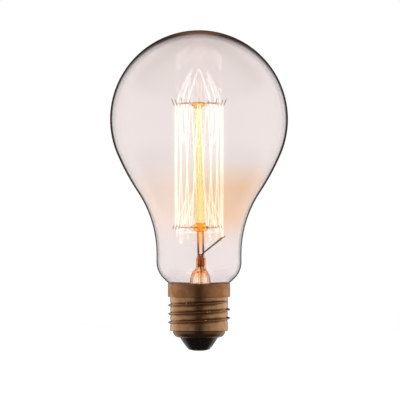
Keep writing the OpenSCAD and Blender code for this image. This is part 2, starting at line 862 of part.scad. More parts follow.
// Cement between the collar and the glass, with a channel for the side lead
module basing_cement() {
    top_z = rim_z - cement_drop;
    top_r = shoulder_entry_r - cement_drop * tan(shoulder_angle);
    bottom_z = top_z - cement_h;
    channel_w = 2 * outer_lead_r + 0.3;
    color([0.75, 0.72, 0.66])
        difference() {
            rotate_extrude()
                polygon(concat(
                    [[collar_bore_r, bottom_z], [collar_bore_r, top_z], [top_r, top_z]],
                    arc(root_r + root_fillet, root_fillet_z, root_fillet, 180 - shoulder_angle, 180, 6),
                    [[root_r, bottom_z]]
                ));
            translate([-channel_w / 2, 0, bottom_z - 1]) cube([channel_w, collar_d, cement_h + 2]);
        }
}

glass_envelope();
stem_flare();
pump_tube();
stem_pinch();
support_rod();
lower_button();
upper_button();
filament();
for (i = [1:upper_hook_count]) upper_hook(i);
for (i = [1:lower_hook_count]) lower_hook(i);
inner_lead(-1, first_end);  // inner_lead_front
inner_lead(1, last_end);  // inner_lead_back
seal_wire(-1);  // seal_wire_front
seal_wire(1);  // seal_wire_back
centre_lead_upper();
fuse_wire();
centre_lead_lower();
side_lead();
screw_shell();
insulator();
centre_contact();
contact_solder();
side_solder();
basing_cement();
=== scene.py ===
"""A clear pear-shaped filament lamp, laid out as an add-on and run as a script.

The scene is in metres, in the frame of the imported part: +Z runs up the cap's axis, the
origin lies at the face of the end contact, and the photo's camera looks along +Y.
Directions around the axis are degrees from the front, -Y, towards the right, +X.
"""

import math

import bmesh
import bpy
from bpy.props import FloatProperty, FloatVectorProperty, IntProperty, PointerProperty
from bpy.types import Operator, Panel, PropertyGroup
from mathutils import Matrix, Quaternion, Vector


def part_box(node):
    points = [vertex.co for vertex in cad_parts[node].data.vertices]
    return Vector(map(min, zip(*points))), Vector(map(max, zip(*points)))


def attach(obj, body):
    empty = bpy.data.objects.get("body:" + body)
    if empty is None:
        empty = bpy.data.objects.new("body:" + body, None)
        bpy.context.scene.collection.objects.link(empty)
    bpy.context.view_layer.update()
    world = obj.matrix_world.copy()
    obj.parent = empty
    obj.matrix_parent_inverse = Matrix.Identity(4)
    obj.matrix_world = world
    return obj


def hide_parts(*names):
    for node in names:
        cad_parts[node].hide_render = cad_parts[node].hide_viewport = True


bl_info = {
    "name": "Filament Lamp",
    "version": (1, 0, 0),
    "blender": (4, 5, 0),
    "location": "View3D > Sidebar > Lamp",
    "description": "Builds a clear filament lamp with a hung wire cage and a brass screw cap",
    "category": "Object",
}

MM = 0.001
BLACK, WHITE = (0, 0, 0), (1, 1, 1)
STEM_LEAN = 0.5 * MM  # how far the hand-made stem leans to the right under its pinch
COIL_PITCH = 0.11 * MM  # from turn to turn of the filament's fine coil
THREAD_ROW = 0.09 * MM  # from row to row of the thread's mesh

# Bands on the bulb, in millimetres up the axis and each with its soft edge: where the cage's
# warm glow is painted into the glass, and where the neck's edge is painted darker as shade.
# Then how strong the painted glow is on the left and on the right. A band up to BEYOND has no
# second edge.
GLOW_LEVELS, NECK_SHADE_LEVELS = (60.0, 65.0, 18.0), (0.0, 58.0, 10.0)
GLOW_SHARES = (0.34, 1.12)
BEYOND = 200.0

# Drawn wires: the clean and the dull colour, the roughness, and how the lines are stretched
WIRES = {
    "drawn_hook_wire": ((0.85, 0.62, 0.44), (0.55, 0.33, 0.20), 0.45, (3.0, 3.0, 3.0)),
    "drawn_nickel": ((0.62, 0.45, 0.32), (0.32, 0.17, 0.09), 0.38, (1.5, 4.0, 1.5)),
    "red_clad_wire": ((0.42, 0.09, 0.03), (0.20, 0.03, 0.015), 0.4, (3.0, 3.0, 0.25)),
    "drawn_copper": ((0.72, 0.36, 0.20), (0.34, 0.15, 0.08), 0.3, (3.0, 3.0, 0.25)),
    "tinned_fuse": ((0.60, 0.60, 0.58), (0.34, 0.33, 0.32), 0.35, (3.0, 3.0, 0.25)),
}

# What mirrors show of the room, by degrees from the front: a dark camera side and lit walls
ROOM_LEVELS = ((0, 0.03), (180, 1.05), (12, 0.05), (24, 0.22), (40, 0.30), (75, 0.42))
ROOM_LEVELS += ((100, 0.60), (125, 0.80))

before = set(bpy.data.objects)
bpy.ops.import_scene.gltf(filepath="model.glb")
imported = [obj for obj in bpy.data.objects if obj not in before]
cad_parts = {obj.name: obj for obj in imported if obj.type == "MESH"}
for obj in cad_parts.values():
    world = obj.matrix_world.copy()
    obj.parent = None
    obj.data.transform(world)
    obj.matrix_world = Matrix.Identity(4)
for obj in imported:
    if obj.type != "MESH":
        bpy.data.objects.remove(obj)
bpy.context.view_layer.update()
bulb_low, bulb_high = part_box("glass_envelope")


# Sizes and colours that a user would change


def length(name, description, value):
    """A length, given in millimetres."""
    return FloatProperty(name=name, description=description, default=value * MM, unit="LENGTH", precision=5)


def angle(name, description, degrees):
    """An angle, given in degrees."""
    return FloatProperty(name=name, description=description, default=math.radians(degrees), subtype="ANGLE")


def colour(name, description, value):
    """A colour, with each part from 0 to 1."""
    return FloatVectorProperty(
        name=name, description=description, default=value, size=3, subtype="COLOR", min=0, max=1
    )


def amount(name, description, value):
    """A plain number, never under zero."""
    return FloatProperty(name=name, description=description, default=value, min=0)


class BulbSizes(PropertyGroup):
    diameter: length("Diameter", "Widest diameter of the bulb", (bulb_high.x - bulb_low.x) / MM)
    belly_angle: angle("Belly angle", "Slope where the ball passes into the flank, from upright", 23.2)
    flank_angle: angle("Flank angle", "Slope where the flank passes into the throat, from upright", 33.7)
    throat: length("Throat", "Radius of the hollow curve between flank and neck", 47)
    neck: length("Neck", "Diameter of the straight neck", 35.8)
    neck_height: length("Neck height", "Length of the straight neck", 3.2)
    shoulder: length("Shoulder", "Radius of the shoulder under the neck", 9.9)
    shoulder_angle: angle("Shoulder angle", "Slope of the shoulder where it enters the cap", 47.5)
    root: length("Root", "Diameter of the glass inside the cap", 21)
    root_depth: length("Root depth", "Depth of the glass inside the cap", 11.9)
    root_fillet: length("Root fillet", "Radius of the hollow curve between shoulder and root", 2)
    wall: length("Wall", "Wall of the flanks, neck and root", 0.7)
    crown_wall: length("Crown wall", "Wall at the crown, where the blown glass is thickest", 1.3)


class StemSizes(PropertyGroup):
    diameter: length("Diameter", "Outer diameter of the stem tube", 8.8)
    wall: length("Wall", "Wall of the stem tube and its flare", 0.8)
    flare: length("Flare", "Radius of the flare at the stem's foot", 5)
    height: length("Height", "Height of the stem tube from the flare's rim to its dome", 12)
    dome_height: length("Dome height", "Height of the dome under the pinch", 4)
    dome_top: length("Dome top", "Outer diameter of the dome's top", 7)
    pinch_height: length("Pinch height", "Height of the pinched glass", 7)
    pinch_turn: length("Pinch turn", "Height over which the round stem turns flat", 2.9)
    pinch_width: length("Pinch width", "Width of the pinch, front to back", 7.4)
    pinch_thickness: length("Pinch thickness", "Thickness of the pinch", 4)
    pinch_offset: length("Pinch offset", "Sideways shift of the hand-pressed pinch", 0.8)
    pump_tube: length("Pump tube", "Outer diameter of the pump tube", 2.1)
    pump_wall: length("Pump wall", "Wall of the pump tube", 0.5)
    pump_tip: length("Pump tip", "Height of the pump tube's tip above the bulb's lower rim", -3.4)
    rod: length("Rod", "Diameter of the glass rod", 2.9)
    rod_lean: angle("Rod lean", "Lean of the rod to the left", 1)
    lower_button: length("Lower button", "Diameter of the lower glass button", 6)
    lower_button_height: length("Lower button height", "Height of the lower glass button", 3.8)
    upper_button: length("Upper button", "Diameter of the upper glass button", 5.5)
    upper_button_height: length("Upper button height", "Height of the upper glass button", 2.7)


class CageSizes(PropertyGroup):
    hooks: IntProperty(name="Upper hooks", description="Number of hooks in the upper ring", default=9, min=3)
    radius: length("Radius", "Radius of the cage", 10.1)
    foot: length("Foot", "Height of the lower bends above the pinch", 13.8)
    height: length("Height", "Height of the cage, from lower to upper bends", 50)
    gap: angle("Gap", "Direction of the gap between the first and the last strand", 100)
    filament: length("Filament", "Diameter of the coiled filament", 0.44)
    hook_wire: length("Hook wire", "Diameter of the hook wire", 0.3)
    hook_seat: length("Hook seat", "Radius of the seat bent into each hook", 0.6)
    hook_rise: length("Hook rise", "Height of the hook wire beside its seat", 1.2)
    upper_tip: length("Upper tip", "Length of the free end of an upper hook", 2.8)
    lower_tip: length("Lower tip", "Length of the free end of a lower hook", 1.7)
    slack: length("Slack", "Running gap between the filament and the wire that holds it", 0.08)
    lead: length("Lead", "Diameter of the nickel leads inside the bulb", 0.55)
    seal_wire: length("Seal wire", "Diameter of the seal wires in the pinch", 0.5)
    outer_lead: length("Outer lead", "Diameter of the copper leads inside the cap", 0.4)
    fuse: length("Fuse", "Diameter of the fuse wire", 0.24)
    fuse_height: length("Fuse height", "Length of the fuse wire", 6)
    lead_spacing: length("Lead spacing", "Distance between the two leads, front to back", 4.5)
    clamp_drop: length("Clamp drop", "Drop of the clamped ends under the lower bends", 5.5)
    clamp_spread: angle("Clamp spread", "Angle between each clamped end and the middle of the gap", 6)


class CapSizes(PropertyGroup):
    collar: length("Collar", "Diameter of the plain collar", 26.2)
    collar_height: length("Collar height", "Height of the plain collar", 5.7)
    sheet: length("Sheet", "Thickness of the brass sheet", 0.3)
    thread: length("Thread", "Diameter over the thread's ridges", 26.3)
    thread_root: length("Thread root", "Diameter between the ridges", 24.26)
    pitch: length("Pitch", "Pitch of the thread", 3.629)
    turns: IntProperty(name="Turns", description="Number of thread turns", default=3, min=1)
    ridge_share: amount("Ridge share", "Share of the pitch that a ridge takes", 0.46)
    ridge_hollow: length("Ridge hollow", "Hollow beside each ridge", 0.36)
    lip: length("Lip", "Diameter of the turned-in lip", 22)
    lip_height: length("Lip height", "Height of the turned-in lip", 2.95)
    lip_round: length("Lip round", "Radius of the lip's turn", 2.7)
    insulator_height: length("Insulator height", "Height of the insulator under the lip", 4.6)
    insulator_foot: length("Insulator foot", "Diameter of the insulator at the contact", 9.7)
    insulator_top: length("Insulator top", "Diameter of the insulator at the lip", 16)
    contact: length("Contact", "Diameter of the end contact", 9.2)
    contact_flat: length("Contact flat", "Diameter of the contact's flat face", 4)
    contact_dome: length("Contact dome", "Radius of the contact's domed edge", 13)
    contact_sheet: length("Contact sheet", "Thickness of the contact's sheet", 0.35)
    eyelet_bore: length("Eyelet bore", "Bore of the contact's eyelet", 1.9)
    eyelet_head: length("Eyelet head", "Diameter of the eyelet's clenched end", 4.4)
    solder_height: length("Solder height", "Height of the solder in the eyelet", 1.3)
    notch: length("Notch", "Width and depth of the notch for the side lead", 1.6)
    solder_drop: length("Solder drop", "Radius of the solder drop over the notch", 1.5)


class Finishes(PropertyGroup):
    glass: colour("Glass", "Body tint of the bulb", (0.995, 0.945, 0.94))
    # Painted glow: the warm colour that the cage's light is painted into the glass with.
    painted_glow_band: colour("Glow band", "Tint of the glass that the cage lights", (0.97, 0.81, 0.69))
    # Painted shade: the next three colours darken the bulb, its thick crown and its neck where they are seen
    # edge on.
    glass_rim_shade: colour("Glass rim", "Tint of the bulb where it is seen edge on", (0.15, 0.085, 0.065))
    crown_rim_shade: colour("Crown rim", "Tint of the thick crown where it is seen edge on", (0.30, 0.16, 0.10))
    neck_rim_shade: colour("Neck rim", "Tint of the neck where it is seen edge on", (0.05, 0.028, 0.022))
    # Painted glow: the rod's glass inside the cage takes this yellow as if lit by the filament.
    rod_cage_glow: colour("Rod in the cage", "Glass of the rod inside the cage", (1.0, 0.97, 0.64))
    rod_below: colour("Rod below", "Glass of the rod under the lower button", (1.0, 0.74, 0.38))
    amber: colour("Amber", "Glass of the buttons", (0.95, 0.50, 0.10))
    stem: colour("Stem", "Glass of the stem tube", (1.0, 0.95, 0.91))
    # Painted shade: the stem darkens to this colour where it is seen edge on.
    stem_edge_shade: colour("Stem burn", "Burnt glass of the pinch and the stem's edges", (0.10, 0.012, 0.002))
    filament_glow: colour("Filament glow", "Light of the filament", (1.0, 0.95, 0.84))
    filament_strength: amount("Filament strength", "Brightness of the filament to the eye", 1.4)
    filament_mirrored: amount("Filament mirrored", "Gain of the filament in the bulb's reflections", 4.5)
    brass: colour("Brass", "Antique brass of the thread's barrels", (0.76, 0.41, 0.20))
    brass_collar: colour("Collar brass", "Browner brass of the collar", (0.62, 0.28, 0.125))
    # Painted shade: the turned-in lip is darkened to this colour.
    brass_lip_shade: colour("Lip brass", "Darker brass of the turned-in lip", (0.24, 0.13, 0.07))
    # Wear and painted highlight: the crests' bright line.
    brass_wear_highlight: colour("Worn brass", "Bright brass of the thread's crests", (0.86, 0.55, 0.32))
    # Patina in the thread's hollows; the same colour is painted on the ridges' flanks as shade.
    brass_dark: colour("Dark brass", "Patina in the thread's hollows", (0.11, 0.068, 0.042))


class StageSettings(PropertyGroup):
    distance: length("Camera distance", "Distance of the camera from the lamp's axis", 1500)
    width: length("Frame width", "Width of the view at the lamp", 168.6)
    aim_x: length("Aim across", "Place across the view of its centre", 0.42)
    aim_z: length("Aim height", "Height of the view's centre", 63.5)
    floor: length("Floor", "Height of the floor", -42)
    ambient: amount("Ambient", "Level of the room's light", 0.8)
    behind: colour("Behind", "Dim patch behind the lamp that draws the glass's outline", (0.045, 0.03, 0.027))
    ceiling: colour("Ceiling", "Dim warm ceiling, as metal and glass show it", (0.17, 0.09, 0.052))
    side_light: amount("Side light", "Power of each side lamp, in watts", 0.7)
    top_light: amount("Top light", "Power of the top lamp, in watts", 0.5)


class LampSettings(PropertyGroup):
    bulb: PointerProperty(type=BulbSizes)
    stem: PointerProperty(type=StemSizes)
    cage: PointerProperty(type=CageSizes)
    cap: PointerProperty(type=CapSizes)
    finish: PointerProperty(type=Finishes)
    stage: PointerProperty(type=StageSettings)


# Levels and curves that follow from the sizes


class Levels:
    """Heights and radii that the pieces share, worked out from the end contact up."""

    def __init__(self, lamp):
        bulb, stem, cage, cap = lamp.bulb, lamp.stem, lamp.cage, lamp.cap
        self.contact_rise = contact_drop(cap, cap.contact / 2)
        self.insulator_z = self.contact_rise + cap.contact_sheet
        self.lip_z = self.insulator_z + cap.insulator_height
        self.thread_z = self.lip_z + cap.lip_height
        bead, run_out = 0.2 * MM, 0.6 * MM
        self.thread_start = self.thread_z + bead - 0.14 * cap.pitch
        self.thread_top = self.thread_start + cap.pitch * (cap.turns + 0.86) + run_out
        self.collar_z = self.thread_top - bead
        self.rim_z = self.collar_z + cap.collar_height

        slope, play = bulb.shoulder_angle, 0.08 * MM
        entry = cap.collar / 2 - cap.sheet - play
        end_r = bulb.neck / 2 - bulb.shoulder * (1 - math.cos(slope))
        end_z = self.rim_z + (end_r - entry) / math.tan(slope)
        self.shoulder_z = end_z + bulb.shoulder * math.sin(slope)
        self.throat_z = self.shoulder_z + bulb.neck_height
        flank_foot = bulb.neck / 2 + bulb.throat * (1 - math.cos(bulb.flank_angle))
        belly, flank = math.cos(bulb.belly_angle), math.cos(bulb.flank_angle)
        self.flank_r = (bulb.diameter / 2 * belly - flank_foot) / (belly - flank)
        self.flank_x = flank_foot - self.flank_r * flank
        self.flank_z = self.throat_z + (bulb.throat + self.flank_r) * math.sin(bulb.flank_angle)
        self.ball_z = self.flank_z - (self.flank_r - bulb.diameter / 2) * math.sin(bulb.belly_angle)
        self.crown_z = self.ball_z + bulb.diameter / 2
        self.root_r = bulb.root / 2
        self.root_z = self.rim_z - bulb.root_depth
        fillet_in = entry - self.root_r - bulb.root_fillet * (1 - math.cos(slope))
        self.fillet_z = self.rim_z - bulb.root_fillet * math.sin(slope) - fillet_in / math.tan(slope)

        self.dome_z = self.root_z + stem.height
        self.pinch_z = self.dome_z + stem.dome_height
        self.pinch_top = self.pinch_z + stem.pinch_height
        self.lower_ring = self.pinch_top + cage.foot
        self.upper_ring = self.lower_ring + cage.height
        self.lower_button = self.lower_ring - cage.hook_rise
        self.upper_button = self.upper_ring + cage.hook_rise
        self.clamp_z = self.lower_ring - cage.clamp_drop
        self.fuse_top = self.pinch_z - 5 * MM
        self.lead_turn = self.root_z - stem.wall - 1.4 * MM
        self.eyelet_top = self.lip_z + 1.7 * MM
        self.side_joint = self.rim_z - cap.notch + cage.outer_lead / 2 + 0.3 * MM
        self.hook_step = math.pi / cage.hooks
        self.rod_foot = stem.pinch_offset
        self.rod_slope = math.tan(stem.rod_lean)

    def rod_x(self, z):
        """Place across of the leaning rod's axis at a height."""
        return self.rod_foot - (z - self.pinch_top) * self.rod_slope

    def stem_x(self, z):
        """Place across of the stem's axis at a height."""
        return STEM_LEAN * smooth_step(self.root_z, self.dome_z, z)


def contact_drop(cap, radius):
    """Height of the contact's face at a radius: flat in the middle, domed outside."""
    flat, dome = cap.contact_flat / 2, cap.contact_dome
    if radius <= flat:
        return 0.0
    return math.sqrt(dome**2 - flat**2) - math.sqrt(dome**2 - radius**2)


def arc(x, z, radius, start, end, steps):
    """Points on an arc about (x, z), between two angles in radians."""
    turns = [start + (end - start) * i / steps for i in range(steps + 1)]
    return [(x + radius * math.cos(t), z + radius * math.sin(t)) for t in turns]


def around(direction, radius, z):
    """A place on a circle about the axis, at a direction from the front."""
    return Vector((radius * math.sin(direction), -radius * math.cos(direction), z))


def smooth_step(low, high, value):
    """0 below a range and 1 above it, with a smooth rise in it."""
    share = min(1.0, max(0.0, (value - low) / (high - low)))
    return share * share * (3 - 2 * share)


def bulb_face(lamp, at, depth, drop):
    """One face of the bulb's wall, from crown to lower rim. Depth is its depth in the wall
    and drop the shift of its ball, which leaves the crown thicker."""
    bulb = lamp.bulb
    pi, slope, fillet = math.pi, bulb.shoulder_angle, bulb.root_fillet
    neck_r = bulb.neck / 2
    throat_x = neck_r + bulb.throat
    reach = math.hypot(at.flank_x, at.flank_z - at.ball_z + drop)
    belly = math.acos(-at.flank_x / reach)
    face = arc(0, at.ball_z - drop, at.flank_r - depth - reach, pi / 2, -belly, 84)
    face += arc(at.flank_x, at.flank_z, at.flank_r - depth, -belly, -bulb.flank_angle, 14)[1:]
    face += arc(throat_x, at.throat_z, bulb.throat + depth, pi - bulb.flank_angle, pi, 28)[1:]
    face += arc(neck_r - bulb.shoulder, at.shoulder_z, bulb.shoulder - depth, 0, -slope, 18)
    face += arc(at.root_r + fillet, at.fillet_z, fillet + depth, pi - slope, pi, 10)
    return face + [(at.root_r - depth, at.root_z)]


def stem_face(lamp, at, depth):
    """One face of the stem, from the flare's rim to the top of its dome."""
    stem = lamp.stem
    tube = stem.diameter / 2
    inset = tube - stem.dome_top / 2
    dome = (stem.dome_height**2 + inset**2) / (2 * inset)
    face = [(at.root_r, at.root_z - depth)]
    face += arc(tube + stem.flare, at.root_z + stem.flare, stem.flare + depth, 1.5 * math.pi, math.pi, 24)
    face += arc(tube - dome, at.dome_z, dome - depth, 0, math.asin(stem.dome_height / dome), 16)
    return face


# Meshes


def new_mesh(name, points, faces):
    """A mesh from its points and faces."""
    mesh = bpy.data.meshes.new(name)
    mesh.from_pydata(points, [], faces)
    return mesh


def placed(name, data):
    """Puts a new object into the scene."""
    made = bpy.data.objects.new(name, data)
    bpy.context.scene.collection.objects.link(made)
    return made


def make_piece(name, shape, nodes, finish, crease=35, along=None):
    """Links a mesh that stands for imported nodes, rides on the body and wears a finish."""
    mesh = new_mesh(name, *shape)
    if along:
        mesh.attributes.new("along", "FLOAT", "POINT").data.foreach_set("value", along)
    work = bmesh.new()
    work.from_mesh(mesh)
    bmesh.ops.recalc_face_normals(work, faces=work.faces)
    work.to_mesh(mesh)
    work.free()
    mesh.polygons.foreach_set("use_smooth", [True] * len(mesh.polygons))
    mesh.set_sharp_from_angle(angle=math.radians(crease))
    mesh.materials.append(finish)
    piece = placed(name, mesh)
    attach(piece, "root")
    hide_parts(*nodes)
    return piece


def make_glass(name, shape, nodes, finish, crease=35):
    """Makes a clear piece, which casts no shadow."""
    make_piece(name, shape, nodes, finish, crease).visible_shadow = False


def make_wire(name, route, width, nodes, finish, sides=12):
    """Makes a piece of round wire along a route."""
    make_piece(name, swept(route, width / 2, sides)[0], nodes, finish)


def lofted(rows, closed=False):
    """Points and faces of a skin over rows of points. A row is a ring, or one point as a pole."""
    points, rings, faces = [], [], []
    for row in rows:
        rings.append(range(len(points), len(points) + len(row)))
        points += row
    for low, high in zip(rings, rings[1:] + (rings[:1] if closed else [])):
        for k in range(max(len(low), len(high))):
            j = k + 1
            corners = (low[k % len(low)], low[j % len(low)], high[j % len(high)], high[k % len(high)])
            face = list(dict.fromkeys(corners))
            if len(face) > 2:
                faces.append(face)
    return points, faces


def full_turn(steps):
    """Angles of a ring's points."""
    return [2 * math.pi * k / steps for k in range(steps)]


def half_turn(steps):
    """Angles along a bend of half a turn, both ends included."""
    return [math.pi * k / steps for k in range(steps + 1)]


def turned(profile, steps, closed=False, shift=None):
    """A profile of (radius, height) pairs turned about the upright axis, shifted to the right."""
    rows = []
    for radius, z in profile:
        x = shift(z) if shift else 0.0
        turns = full_turn(steps) if radius > 1e-7 else [0.0]
        rows.append([(x + radius * math.cos(t), radius * math.sin(t), z) for t in turns])
    return lofted(rows, closed)


def tilted(shape, at, z, lean):
    """Moves a shape, turned about its own origin, onto the leaning rod's axis."""
    points, faces = shape
    turn, place = Quaternion((0, 1, 0), -lean), Vector((at.rod_x(z), 0, z))
    return [tuple(turn @ Vector(p) + place) for p in points], faces


def swept(route, radius, sides=12, ends=4):
    """A round wire along a route, with rounded ends, and the run of each of its points."""
    route = [Vector(p) for p in route]
    headings = [(b - a).normalized() for a, b in zip(route[:1] + route, route[1:] + route[-1:])]
    first, last = headings[0], headings[-1]
    lifts = [math.pi / 2 * k / ends for k in range(ends + 1)]

    def rounded(tip, inward, heading, lift):
        """One station of a rounded end."""
        place = tip + inward * radius * (1 - math.sin(lift))
        return place, heading, radius * max(0.02, math.cos(lift))

    stations = [rounded(route[0], first, first, lift) for lift in reversed(lifts)]
    stations += [(place, heading, radius) for place, heading in zip(route[1:-1], headings[1:-1])]
    stations += [rounded(route[-1], -last, last, lift) for lift in lifts]
    side = first.orthogonal().normalized()
    rows, along, run, before = [], [], 0.0, stations[0][0]
    for place, heading, size in stations:
        side = (side - heading * side.dot(heading)).normalized()
        other = heading.cross(side)
        run += (place - before).length
        before = place
        rows.append(
            [tuple(place + size * (math.cos(t) * side + math.sin(t) * other)) for t in full_turn(sides)]
        )
        along += [run] * sides
    points, faces = lofted(rows)
    numbers = list(range(len(points)))
    return (points, faces + [numbers[:sides][::-1], numbers[-sides:]]), along


def eased(corners, reach, steps=8):
    """A route through corner points, each eased by a curve that starts reach away from it."""
    corners = [Vector(c) for c in corners]
    route = [corners[0]]
    for before, corner, after in zip(corners, corners[1:], corners[2:]):
        start = corner + reach * (before - corner).normalized()
        end = corner + reach * (after - corner).normalized()
        for k in range(steps + 1):
            s = k / steps
            route.append((1 - s) ** 2 * start + 2 * s * (1 - s) * corner + s * s * end)
    return route + [corners[-1]]


def filled(route, step):
    """A route with points added, so that no stretch is longer than step."""
    points = []
    for a, b in zip(route, route[1:]):
        count = max(1, math.ceil((b - a).length / step))
        points += [a.lerp(b, k / count) for k in range(count)]
    return points + [route[-1]]


# Effects that several finishes share


def feed(tree, socket, value):
    """Feeds a socket with another node's output or with a plain value."""
    if isinstance(value, bpy.types.NodeSocket):
        tree.links.new(value, socket)
    elif socket.type == "RGBA" and len(value) == 3:
        socket.default_value = (*value, 1)
    else:
        socket.default_value = value


def put(tree, kind, inputs=None, **settings):
    """Adds a node to a tree, with its settings and its inputs as values or links."""
    made = tree.nodes.new(kind)
    for key, value in settings.items():
        setattr(made, key, value)
    for key, value in (inputs or {}).items():
        feed(tree, made.inputs[key], value)
    return made


def ramped(tree, value, low, high, to_low=0.0, to_high=1.0):
    """A value mapped smoothly from one range to another."""
    inputs = {"Value": value, "From Min": low, "From Max": high, "To Min": to_low, "To Max": to_high}
    return put(tree, "ShaderNodeMapRange", inputs, interpolation_type="SMOOTHSTEP").outputs["Result"]


def between(tree, share, first, second):
    """A value that runs from one to another with a share."""
    return ramped(tree, share, 0.0, 1.0, first, second)


def mixed(tree, share, first, second):
    """Two colours, each plain or linked, mixed by a share."""
    return put(tree, "ShaderNodeMix", {0: share, 6: first, 7: second}, data_type="RGBA").outputs[2]


def sums(tree, operation, *values):
    """A math node on values or links."""
    return put(tree, "ShaderNodeMath", dict(enumerate(values)), operation=operation).outputs[0]


def times(tree, first, second):
    """The product of two values or links."""
    return sums(tree, "MULTIPLY", first, second)


def larger(tree, first, second):
    """The larger of two values or links."""
    return sums(tree, "MAXIMUM", first, second)


def rest_of(tree, share):
    """What a share leaves of 1."""
    return sums(tree, "SUBTRACT", 1.0, share)


def vectors(tree, operation, inputs):
    """A vector math node, which gives a vector, or a value where it has only that."""
    made = put(tree, "ShaderNodeVectorMath", inputs, operation=operation)
    return made.outputs["Value" if operation in ("LENGTH", "DOT_PRODUCT") else "Vector"]


def light_path(tree, kind):
    """What a ray has done so far."""
    return put(tree, "ShaderNodeLightPath").outputs[kind]


def millimetres(tree):
    """The place on the piece, in millimetres."""
    place = put(tree, "ShaderNodeTexCoord").outputs["Object"]
    return vectors(tree, "SCALE", {0: place, "Scale": 1000.0})


def shared_effect(name, inputs, outputs, wire):
    """A node group with named inputs and outputs, wired once and then used again."""
    if name in bpy.data.node_groups:
        return bpy.data.node_groups[name]
    tree = bpy.data.node_groups.new(name, "ShaderNodeTree")
    for label, value in inputs.items():
        kind = "NodeSocketVector" if isinstance(value, tuple) else "NodeSocketFloat"
        tree.interface.new_socket(label, in_out="INPUT", socket_type=kind).default_value = value
    for label in outputs:
        tree.interface.new_socket(label, in_out="OUTPUT", socket_type="NodeSocketFloat")
    given = tree.nodes.new("NodeGroupInput").outputs
    out = tree.nodes.new("NodeGroupOutput").inputs
    for label, value in zip(outputs, wire(tree, given)):
        tree.links.new(value, out[label])
    return tree


def wire_grain(tree, given):
    """Wires the grain: noise over the stretched place."""
    place = vectors(tree, "MULTIPLY", {0: millimetres(tree), 1: given["Stretch"]})
    inputs = {"Vector": place, "Scale": 1.0, "Detail": given["Detail"]}
    noise = put(tree, "ShaderNodeTexNoise", inputs).outputs[0]
    return ramped(tree, noise, given["Low"], given["High"]), noise


def wire_band(tree, given):
    """Wires the band: a smooth rise and a smooth fall along the axis."""
    place = vectors(tree, "DOT_PRODUCT", {0: millimetres(tree), 1: given["Axis"]})
    rise = ramped(tree, place, sums(tree, "SUBTRACT", given["From"], given["Soft"]), given["From"])
    fall = ramped(tree, place, given["To"], sums(tree, "ADD", given["To"], given["Soft"]), 1.0, 0.0)
    return (times(tree, rise, fall),)


def wire_depth(tree, given):
    """Wires the depth: the distance from the upright axis."""
    flat = vectors(tree, "MULTIPLY", {0: millimetres(tree), 1: (1, 1, 0)})
    return (ramped(tree, vectors(tree, "LENGTH", {0: flat}), given["Root"], given["Crest"]),)


def effect(tree, group, output="Mask", **inputs):
    """Places a shared effect in a finish, with its own values."""
    return put(tree, "ShaderNodeGroup", inputs, node_tree=group).outputs[output]


def grain(tree, stretch, low=0.35, high=0.65, detail=4.0, output="Mask"):
    """Grain of a surface, stretched by a vector: even for mottling, long for drawn lines."""
    defaults = {"Stretch": (1, 1, 1), "Detail": 4.0, "Low": 0.35, "High": 0.65}
    group = shared_effect("Grain", defaults, ("Mask", "Height"), wire_grain)
    values = stretch if isinstance(stretch, tuple) else (stretch, stretch, stretch)
    return effect(tree, group, output, Stretch=values, Detail=detail, Low=low, High=high)


def band(tree, axis, low, high, soft):
    """A band across an axis, full between two places along it and soft at its edges."""
    defaults = {"Axis": (0, 0, 1), "From": 0.0, "To": 10.0, "Soft": 1.0}
    group = shared_effect("Band", defaults, ("Mask",), wire_band)
    return effect(tree, group, Axis=axis, From=low, To=high, Soft=soft)


def level_band(tree, low, high, soft):
    """A band between two heights in millimetres."""
    return band(tree, (0, 0, 1), low, high, soft)


def side_band(tree, low, high, soft):
    """A band between two places across, in millimetres."""
    return band(tree, (1, 0, 0), low, high, soft)


def radial_depth(tree, root, crest):
    """How far a place lies out from the upright axis, 0 at the root and 1 at the crest."""
    group = shared_effect("Radial Depth", {"Root": 0.0, "Crest": 1.0}, ("Mask",), wire_depth)
    return effect(tree, group, Root=root, Crest=crest)


# Finishes


def new_finish(name, **plain):
    """A finish whose shader has its plain sockets set by name."""
    made = bpy.data.materials.new(name)
    made.use_nodes = True
    return finished(made, **plain), made.node_tree


def finished(made, **sockets):
    """Feeds the sockets of a finish's shader, given by name, and returns the finish."""
    shader = made.node_tree.nodes["Principled BSDF"]
    for label, value in sockets.items():
        feed(made.node_tree, shader.inputs[label.replace("_", " ")], value)
    return made


def clear_glass(name, roughness=0.0, transmission=1.0):
    """Clear glass, whose faint emission stands for the light that the cage spreads in it."""
    plain = {"IOR": 1.5, "Transmission_Weight": transmission, "Emission_Strength": 1.0}
    return new_finish(name, Roughness=roughness, **plain)


def bumped(tree, height, distance, strength=1.0):
    """The normal of a surface raised by a height, by up to a distance."""
    inputs = {"Height": height, "Distance": distance, "Strength": strength}
    return put(tree, "ShaderNodeBump", inputs).outputs[0]


def relief(tree, stretch, height, detail=4.0, strength=1.0):
    """The normal of a grain that is raised by up to a height in millimetres."""
    grains = grain(tree, stretch, detail=detail, output="Height")
    return bumped(tree, grains, height * MM, strength)


def facing(tree, low, high):
    """0 where a surface faces the eye and 1 where it is seen edge on, between two cosines."""
    weight = put(tree, "ShaderNodeLayerWeight", {"Blend": 0.5}).outputs["Facing"]
    return ramped(tree, weight, 1 - high, 1 - low)


